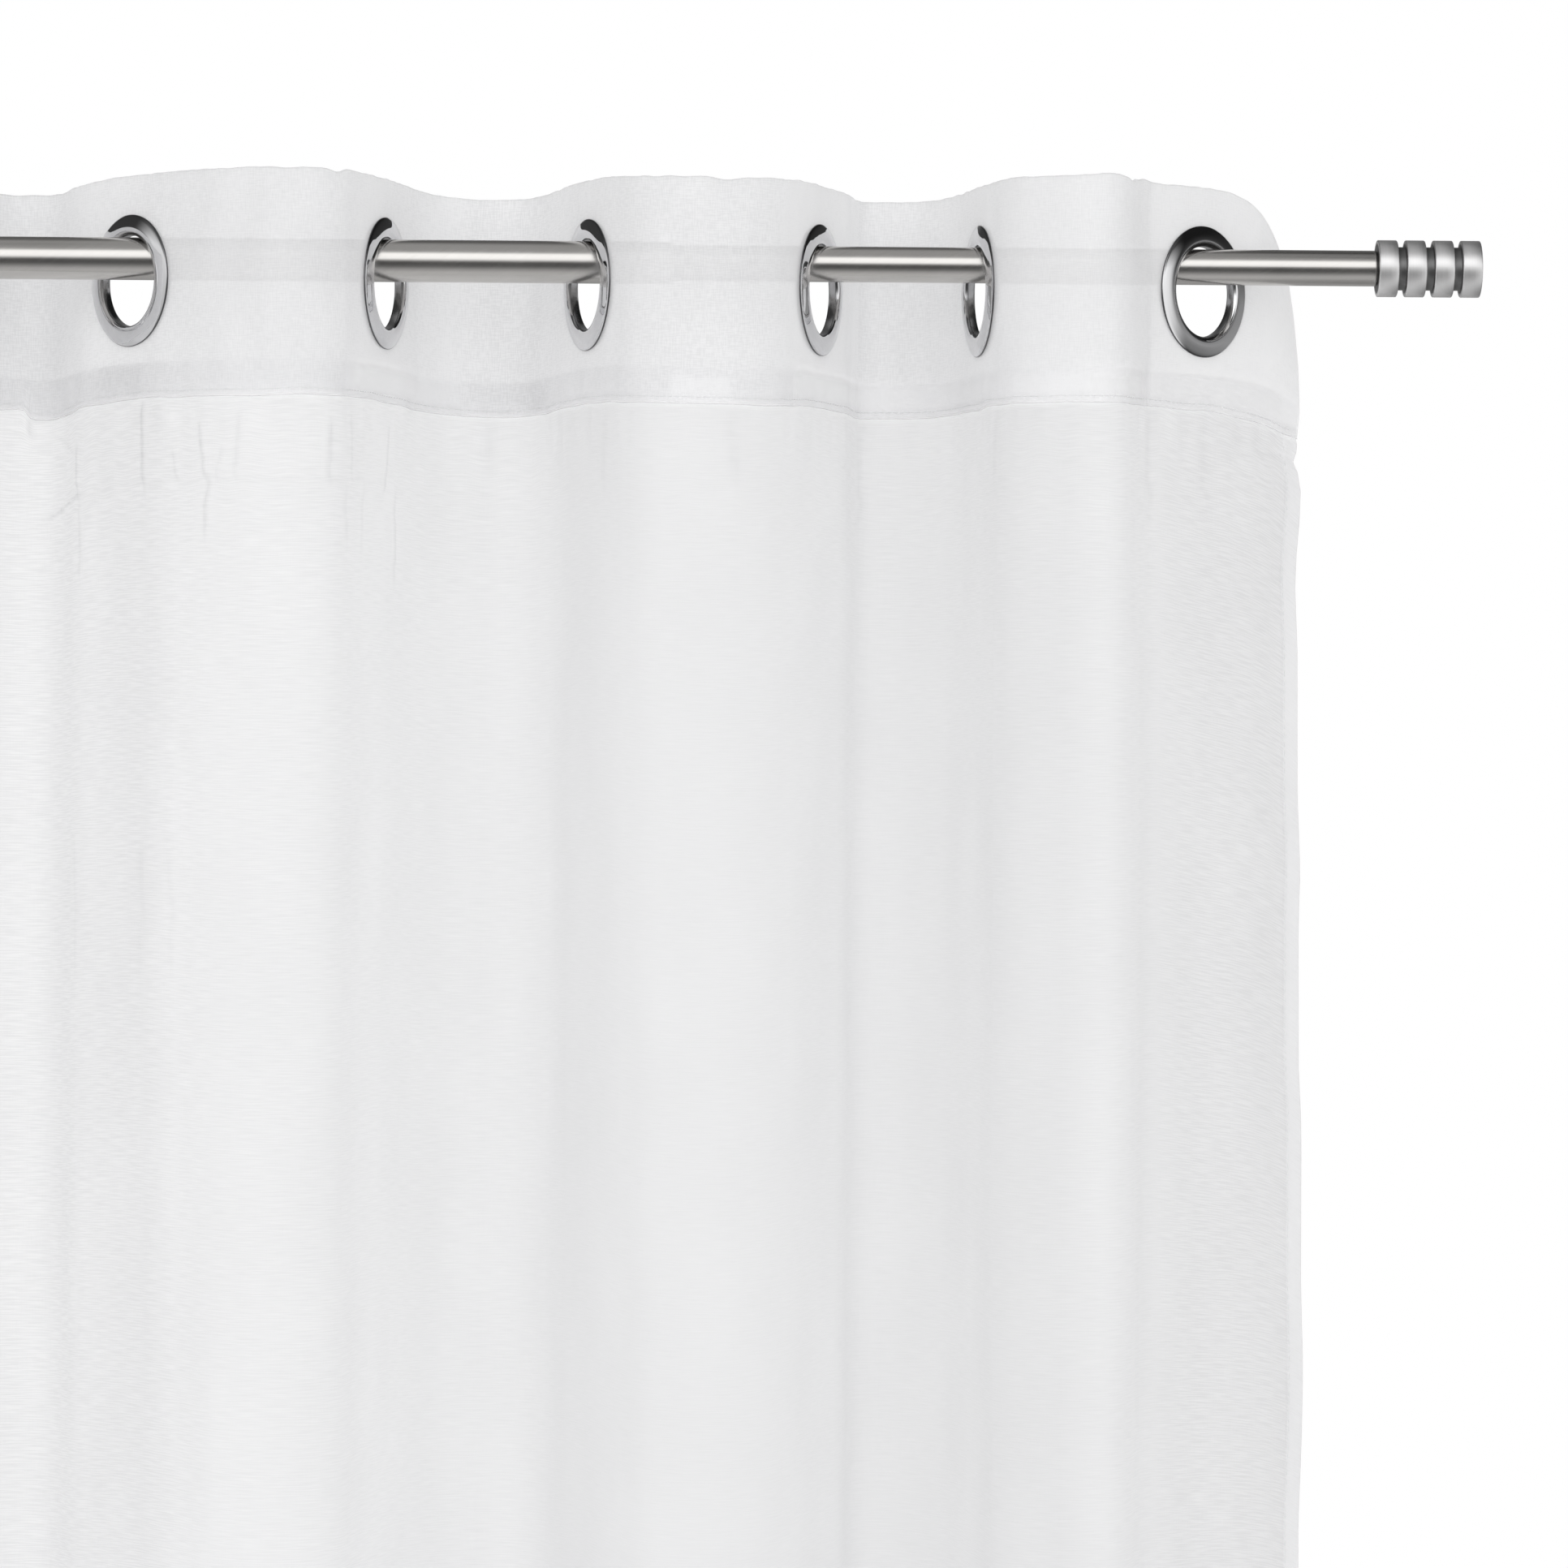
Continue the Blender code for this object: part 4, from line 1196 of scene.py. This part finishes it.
clouds = noise_node(brushing, given["Place"], CLOUD_SCALE, 3.0)
blend = mix_value(brushing, given["Cloud share"], scratches, clouds)
plug(brushing, blend, result["Tone"])
rough = sum_node(brushing, "MULTIPLY_ADD", blend, MARK_ROUGHNESS, LEAST_ROUGHNESS)
plug(brushing, rough, result["Roughness"])
plug(brushing, scratches, result["Height"])
print("brushing nodes:", len(brushing.nodes))

# %% [markdown]
# The tubes are plain steel. The finials are a paler metal with a duller surface, and their grooves are
# painted dark, as painted shade in the recesses. A groove is told by how near the piece's axis a point lies.

# %% Brushed metals
# Painted shade: the dark colour of the finials' grooves.
PAINTED_GROOVE_SHADE = (0.20, 0.20, 0.20, 1)
GROOVE_SHADE = 1.2 * MM


def brushed_metal(name, dark, light, rough, bump_height, groove=0, **brush):
    """Brushed metal, rougher than its brushing by rough, with painted shade where it is nearer the axis than
    groove.
    """
    material, tree, body = new_material(name)
    place = own_place(tree)
    marks = place_group(tree, brushing, Place=place, **brush)
    bump = bump_node(tree, marks["Height"], bump_height, 0.5)
    colour = mix_colour(tree, marks["Tone"], dark, light)
    if groove:
        across = add_node(tree, "ShaderNodeVectorMath", {"operation": "MULTIPLY"}, Vector=place)
        across.inputs[1].default_value = (0, 1, 1)
        proud = step_node(tree, length_node(tree, across.outputs[0]), groove, groove + GROOVE_SHADE)
        # Painted shade in the grooves.
        colour = mix_colour(tree, proud, PAINTED_GROOVE_SHADE, colour)
    roughness = sum_node(tree, "ADD", marks["Roughness"], rough)
    plug_all(tree, body, Base_Color=colour, Roughness=roughness, Normal=bump, Metallic=1.0)
    return material


steel = brushed_metal(
    "brushed steel tube",
    dark=(0.50, 0.485, 0.465, 1),
    light=(0.74, 0.725, 0.705, 1),
    rough=0.0,
    bump_height=0.004 * MM,
    Radius=0.0095,
    Slant=0.55,
    Scratch_length=0.014,
    Scratch_width=0.00022,
)
light_metal = brushed_metal(
    "turned light metal",
    dark=(0.78, 0.775, 0.775, 1),
    light=(0.97, 0.965, 0.965, 1),
    rough=0.22,
    bump_height=0.010 * MM,
    groove=10.6 * MM,
    Radius=0.01275,
    Slant=math.pi / 2,
    Cloud_share=0.06,
    Scratch_length=0.03,
    Scratch_width=0.00030,
)
print("brushed metals:", steel.name, "and", light_metal.name)

# %% [markdown]
# The eyelets are plated and polished, so they are near mirrors. What keeps them from looking like drawn
# chrome is a faint film of handling: small clouds where the mirror is a touch softer. The thin lip against
# the cloth and the mouth of the barrel are painted dark, as painted shade where the ring meets the cloth and
# inside the barrel, and they are rougher too. Where they are is told by each point's distance from its ring's
# own axis, kept in an attribute called reach.

# %% Polished metal
PLATING = ((0.73, 0.73, 0.74, 1), (0.78, 0.78, 0.79, 1))
# Painted shade: the dark colour of the lip against the cloth and of the barrel's mouth.
LIP_AND_MOUTH_SHADE = (0.13, 0.13, 0.135, 1)
LIP = (29.0 * MM, 29.4 * MM)
MOUTH = (20.35 * MM, 20.7 * MM)
MOUTH_SHARE = 0.55
LEAST_BLUR, FILM_BLUR, DULL_BLUR = 0.01, 0.05, 0.25

polished, tree, body = new_material("polished plating")
film = noise_node(tree, own_place(tree), 90.0, 4.0)
reach = attribute_node(tree, "reach")
lip = step_node(tree, reach, *LIP)
mouth = sum_node(tree, "SUBTRACT", 1, step_node(tree, reach, *MOUTH))
# The lip and the mouth get painted shade in their colour, and more blur.
painted_shade_and_dull = sum_node(tree, "MAXIMUM", lip, sum_node(tree, "MULTIPLY", mouth, MOUTH_SHARE))
colour = mix_colour(tree, painted_shade_and_dull, mix_colour(tree, film, *PLATING), LIP_AND_MOUTH_SHADE)
blur = sum_node(tree, "MULTIPLY_ADD", film, FILM_BLUR, LEAST_BLUR)
blur = sum_node(tree, "MULTIPLY_ADD", painted_shade_and_dull, DULL_BLUR, blur)
plug_all(tree, body, Base_Color=colour, Roughness=blur, Metallic=1.0)
print("polished metal:", polished.name)

# %% [markdown]
# ## The rod
#
# The rod is two steel tubes, one sliding in the other. The thick one's end is rolled in a little, so that it
# grips the thin one and has no sharp edge. Each tube is turned on the lathe helper, wall and bore together.

# %% Tubes
ROD_HALF = 416
TUBE_STEP, TUBE_OVERLAP = 100, 120
OUTER_RADIUS, OUTER_BORE = 9.5, 8.3
INNER_RADIUS, INNER_BORE = 8.0, 7.0
TUBE_SIDES = 96
ALONG_X = (0, math.pi / 2, 0)


def tube_outline(start, end, radius, bore):
    """Wall and bore of a tube with slightly rounded ends."""
    return (
        (start + 0.3, bore),
        (start, bore + 0.3),
        (start, radius - 0.3),
        (start + 0.09, radius - 0.09),
        (start + 0.3, radius),
        (end - 0.8, radius),
        (end - 0.35, radius - 0.08),
        (end - 0.08, radius - 0.35),
        (end, radius - 0.7),
        (end - 0.1, bore + 0.15),
        (end - 0.5, bore),
    )


for name, start, end, radius, bore in (
    ("rod_outer", -ROD_HALF, TUBE_STEP, OUTER_RADIUS, OUTER_BORE),
    ("rod_inner", TUBE_STEP - TUBE_OVERLAP, ROD_HALF, INNER_RADIUS, INNER_BORE),
):
    tube = turn_on_lathe(f"{name}_tube", tube_outline(start, end, radius, bore), TUBE_SIDES, hollow=True)
    set_in_place(tube, (0, 0, 0), ALONG_X)
    smooth_piece(tube, 40)
    finish_piece(tube, steel, name)
    print(tube.name, "faces:", len(tube.data.polygons))

# %% [markdown]
# ## The finials
#
# Each finial is a turned bar with three grooves, which leave four rings. A spigot, hidden in the tube, holds
# it. The edges of the rings are broken with a small round, as a lathe hand would do with a file, and they
# catch a thin line of light.

# %% Finials
RING_RADIUS, GROOVE_RADIUS = 12.75, 9.7
RING_LENGTH, GROOVE_LENGTH = 8.8, 3.7
FINIAL_SIDES = 96
JOIN_GAP = 0.3
EDGE_ROUND = ((0.0, 0.55), (0.06, 0.30), (0.20, 0.11), (0.42, 0.0))
GROOVE_ROUND = ((0.0, 0.30), (0.09, 0.09), (0.30, 0.0))


def finial_outline(spigot):
    """From the spigot's end to the flat outer end."""
    points = [(-18, spigot - 0.6), (-17.4, spigot), (JOIN_GAP, spigot)]
    start = JOIN_GAP
    for ring in range(4):
        end = start + RING_LENGTH
        points += [(start + along, RING_RADIUS - drop) for along, drop in EDGE_ROUND]
        points += [(end - along, RING_RADIUS - drop) for along, drop in reversed(EDGE_ROUND)]
        start = end + GROOVE_LENGTH
        if ring < 3:
            points += [(end + along, GROOVE_RADIUS + rise) for along, rise in GROOVE_ROUND]
            points += [(start - along, GROOVE_RADIUS + rise) for along, rise in reversed(GROOVE_ROUND)]
    return points


for name, bore, end_x, turn in (
    ("finial_left", OUTER_BORE, -ROD_HALF, -math.pi / 2),
    ("finial_right", INNER_BORE, ROD_HALF, math.pi / 2),
):
    finial = turn_on_lathe(f"{name}_turned", finial_outline(bore - JOIN_GAP), FINIAL_SIDES, hollow=False)
    set_in_place(finial, (end_x * MM, 0, 0), (0, turn, 0))
    smooth_piece(finial, 32)
    finish_piece(finial, light_metal, name)
    print(finial.name, "faces:", len(finial.data.polygons))

# %% [markdown]
# ## The eyelets
#
# An eyelet is two pressed pieces. The front ring has a domed flange with a thin lip, and a barrel that goes
# through the hole in the cloth. Behind the cloth the barrel's end is rolled over a flat washer, which locks
# both together. One of each is turned, and the other seven are copies set at their own places and angles.

# %% Eyelet outlines
EYELET_SIDES = 96
FRONT_OUTLINE = (
    (0.75, 29.0), (0.85, 29.45), (1.15, 29.5), (1.45, 29.25), (1.75, 28.6), (2.1, 27.5), (2.5, 26.2),
    (2.85, 24.9), (3.07, 23.8), (3.15, 22.9), (3.08, 22.1), (2.85, 21.4), (2.45, 20.85), (1.9, 20.45),
    (1.2, 20.25), (0.4, 20.2), (-1.5, 20.2), (-2.0, 20.35), (-2.35, 20.7), (-2.52, 21.3), (-2.5, 21.9),
    (-2.35, 22.4), (-2.15, 22.7), (-2.06, 22.5), (-2.04, 21.8), (-1.9, 21.35), (-1.5, 21.2), (0.4, 21.2),
    (1.6, 21.6), (2.1, 22.9), (1.6, 25.5), (0.95, 28.3),
)
BACK_OUTLINE = (
    (-1.0, 21.9), (-1.0, 28.2), (-1.12, 28.45), (-1.4, 28.5), (-1.7, 28.3), (-1.92, 27.6), (-2.0, 26.5),
    (-2.0, 21.9),
)
front_ring = turn_on_lathe("front_ring", FRONT_OUTLINE, EYELET_SIDES, hollow=True)
back_washer = turn_on_lathe("back_washer", BACK_OUTLINE, EYELET_SIDES, hollow=True)
for ring in (front_ring, back_washer):
    set_in_place(ring, (0, 0, 0), ALONG_X)
    smooth_piece(ring, 50)
    reaches = [math.hypot(vertex.co.y, vertex.co.z) for vertex in ring.data.vertices]
    ring.data.attributes.new("reach", "FLOAT", "POINT").data.foreach_set("value", reaches)
    print(ring.name, "reaches", round(min(reaches) / MM, 1), "to", round(max(reaches) / MM, 1), "mm")
print("eyelet faces:", len(front_ring.data.polygons) + len(back_washer.data.polygons))

# %% [markdown]
# Each eyelet faces the way that the front of its cloth faces, and its centre lies on the rod's line, a little
# below its axis, because the rod carries it. The two masters are removed once all eight are in place.

# %% Eyelets in their places
for index in range(len(EYELETS)):
    centre = (EYELET_X[index] * MM, 0, EYELET_HEIGHTS[index])
    facing = SIDES[index] * math.radians(TURNS[index]) - math.pi / 2
    for master, kind, half in ((front_ring, "ring", "front"), (back_washer, "washer", "back")):
        piece = own_copy(master, f"eyelet_{index + 1}_{kind}")
        set_in_place(piece, centre, (0, 0, facing))
        finish_piece(piece, polished, f"eyelet_{index + 1}_{half}")
bpy.data.objects.remove(front_ring)
bpy.data.objects.remove(back_washer)

# %% [markdown]
# ## The stitching
#
# Machine stitches hold the heading's lower edge, the side hems and the bottom hem. Each shows as a short
# thread with a gap before the next one. One thread is shaped from a small sphere, and its points are then
# repeated along the sewn lines in a single mesh, because thousands of objects would be slow.

# %% One stitch
STITCH_LENGTH = 2.5 * MM
THREAD = 0.22 * MM

start_clean()
bpy.ops.mesh.primitive_uv_sphere_add(segments=4, ring_count=4, radius=THREAD / 2)
one_stitch = bpy.context.object
bpy.ops.object.mode_set(mode="EDIT")
bpy.ops.transform.resize(value=(1, 1, STITCH_LENGTH / THREAD), center_override=(0, 0, 0))
start_clean()
stitch_points = np.array([vertex.co for vertex in one_stitch.data.vertices])
stitch_faces = [np.array(face.vertices) for face in one_stitch.data.polygons]
bpy.data.objects.remove(one_stitch)
print("faces of one stitch:", len(stitch_faces))

# %% [markdown]
# A sewn line is a row of points on the cloth. Stitches are laid along it at an even pitch, and each is turned
# to point at the next, so that it follows every fold.

# %% Rows of stitches
def sewn_line(places, depths, lift):
    """Points of a line of sewing on a cloth."""
    points = hung_points(np.atleast_2d(places), np.atleast_2d(depths), np.atleast_2d(lift))
    return points.reshape(-1, 3)


def points_on(line, along, spots):
    return np.stack([np.interp(spots, along, line[:, axis]) for axis in range(3)], axis=1)


def lay_stitches(line, pitch):
    """Middles and ways of stitches at an even pitch along a line of points."""
    steps = np.linalg.norm(np.diff(line, axis=0), axis=1)
    along = np.concatenate([[0], np.cumsum(steps)])
    spots = np.arange(pitch, along[-1] - pitch, pitch)
    at = points_on(line, along, spots)
    return at, points_on(line, along, spots + pitch / 4) - at


def stitch_mesh(name, rows):
    middles = np.vstack([middle for middle, _ in rows])
    ways = np.vstack([way for _, way in rows])
    points, faces = [], []
    for number, (middle, way) in enumerate(zip(middles, ways)):
        turned = np.array(Vector(way).to_track_quat("Z", "Y").to_matrix())
        points.append(stitch_points @ turned.T + middle)
        faces += [(face + number * len(stitch_points)).tolist() for face in stitch_faces]
    mesh = bpy.data.meshes.new(name)
    mesh.from_pydata(np.vstack(points).tolist(), [], faces)
    mesh.polygons.foreach_set("use_smooth", np.ones(len(faces), bool))
    made = bpy.data.objects.new(name, mesh)
    bpy.context.scene.collection.objects.link(made)
    return made


print("stitch helpers ready")

# %% [markdown]
# Thread is spun, so it is matt and a touch brighter than the cloth. Its twist is far too fine to model, and
# noise in its bump stands for it.

# %% Thread
FIBRE_SCALE = 4000.0

thread, tree, body = new_material("sewing thread")
fibres = noise_node(tree, own_place(tree), FIBRE_SCALE, 2.0)
colour = mix_colour(tree, fibres, (0.80, 0.805, 0.815, 1), (0.92, 0.925, 0.93, 1))
roughness = sum_node(tree, "MULTIPLY_ADD", fibres, 0.2, 0.7)
bump = bump_node(tree, fibres, 0.05 * MM, 0.5)
plug_all(tree, body, Base_Color=colour, Roughness=roughness, Normal=bump)
print("thread:", thread.name)

# %% [markdown]
# The heading is sewn once right through, and its line shows on both faces. So do the lines of the hems. Each
# line lies on the cloth's surface and a hair proud of it.

# %% Sewn lines
SEAM_DEPTH = 97 * MM
SEWN_LAYER = 0.36 * MM
SEWN_PROUD = 0.06 * MM
SEWN_INSET = 1.5 * MM
STITCH_PITCH = 3.2 * MM
HEM_PITCH = 4.0 * MM


def heading_line(places, depths, side):
    lift = heading_relief(places, depths, side * SEWN_LAYER + 0 * places)
    return sewn_line(places, depths, lift)


def panel_line(places, depths, layer):
    lifts = panel_relief(places, depths) + layer
    return np.vstack([sewn_line(*point) for point in zip(places, depths, lifts)])


def both_faces(back):
    """The lifts of a sewn line on the front and on the back of a hem."""
    return PANEL_LIFT + SEWN_PROUD, PANEL_LIFT - back - SEWN_PROUD


seam = np.arange(3 * MM, CUT_WIDTH - 2 * MM, 1.5 * MM)
drop = panel_depths[(panel_depths > HEADING_DEPTH + 1 * MM) & (panel_depths < DROP - 2 * MM)]
bottom = np.arange(4 * MM, CUT_WIDTH - 4 * MM, 3 * MM)
heading_sewing, panel_sewing = [], []
for side in (1, -1):
    line = heading_line(seam, 0 * seam + SEAM_DEPTH, side)
    heading_sewing.append(lay_stitches(line, STITCH_PITCH))
for layer in both_faces(SIDE_HEM_BACK):
    for place in (SIDE_HEM - SEWN_INSET, CUT_WIDTH - SIDE_HEM + SEWN_INSET):
        panel_sewing.append(lay_stitches(panel_line(0 * drop + place, drop, layer), HEM_PITCH))
for layer in both_faces(BOTTOM_HEM_BACK):
    line = panel_line(bottom, 0 * bottom + DROP - BOTTOM_HEM + SEWN_INSET, layer)
    panel_sewing.append(lay_stitches(line, STITCH_PITCH))
heading_stitches = stitch_mesh("heading_stitches", heading_sewing)
panel_stitches = stitch_mesh("panel_stitches", panel_sewing)
finish_piece(heading_stitches, thread, None)
finish_piece(panel_stitches, thread, None)
print("stitches:", sum(len(middles) for middles, _ in heading_sewing + panel_sewing))

# %% [markdown]
# ## The floor
#
# A wide pale disc lies just under the hem. Its rim fades out, so that no horizon cuts across the white
# surround in any view. Mirrors leave it out, because the bands of the surround already hold a floor.

# %% Floor
FLOOR_RADIUS = 13
FLOOR_DROP = 25 * MM
RIM_START, RIM_END = 0.35, 0.98

start_clean()
floor_height = cad_box[0][2] - FLOOR_DROP
bpy.ops.mesh.primitive_circle_add(vertices=96, radius=FLOOR_RADIUS, fill_type="NGON", location=(0, 0, 0))
floor = bpy.context.object
floor.name = "floor"
bpy.ops.object.mode_set(mode="EDIT")
bpy.ops.transform.translate(value=(0, 0, floor_height))
start_clean()
floor_paint, tree, body = new_material("pale floor")
place = own_place(tree)
grain = noise_node(tree, place, 3.0, 4.0)
colour = mix_colour(tree, grain, (0.86, 0.86, 0.86, 1), (0.90, 0.90, 0.90, 1))
plug_all(tree, body, Base_Color=colour, Roughness=0.9, Specular_IOR_Level=0.1)
gone = step_node(tree, length_node(tree, place), FLOOR_RADIUS * RIM_START, FLOOR_RADIUS * RIM_END)
faded = mix_shaders(tree, gone, body, add_node(tree, "ShaderNodeBsdfTransparent"))
tree.links.new(faded.outputs[0], tree.nodes["Material Output"].inputs["Surface"])
floor.data.materials.append(floor_paint)
floor.visible_glossy = False
print("floor height in m:", round(floor_height, 3))

# %% [markdown]
# ## Cloth sizes
#
# The size that each sheet was cut to, its turned edges counted in, is printed.

cut_sizes = (CUT_WIDTH, heading_run[-1], column_run[-1], row_run[-1])
print("cut sizes in m:", [round(float(value), 3) for value in cut_sizes])
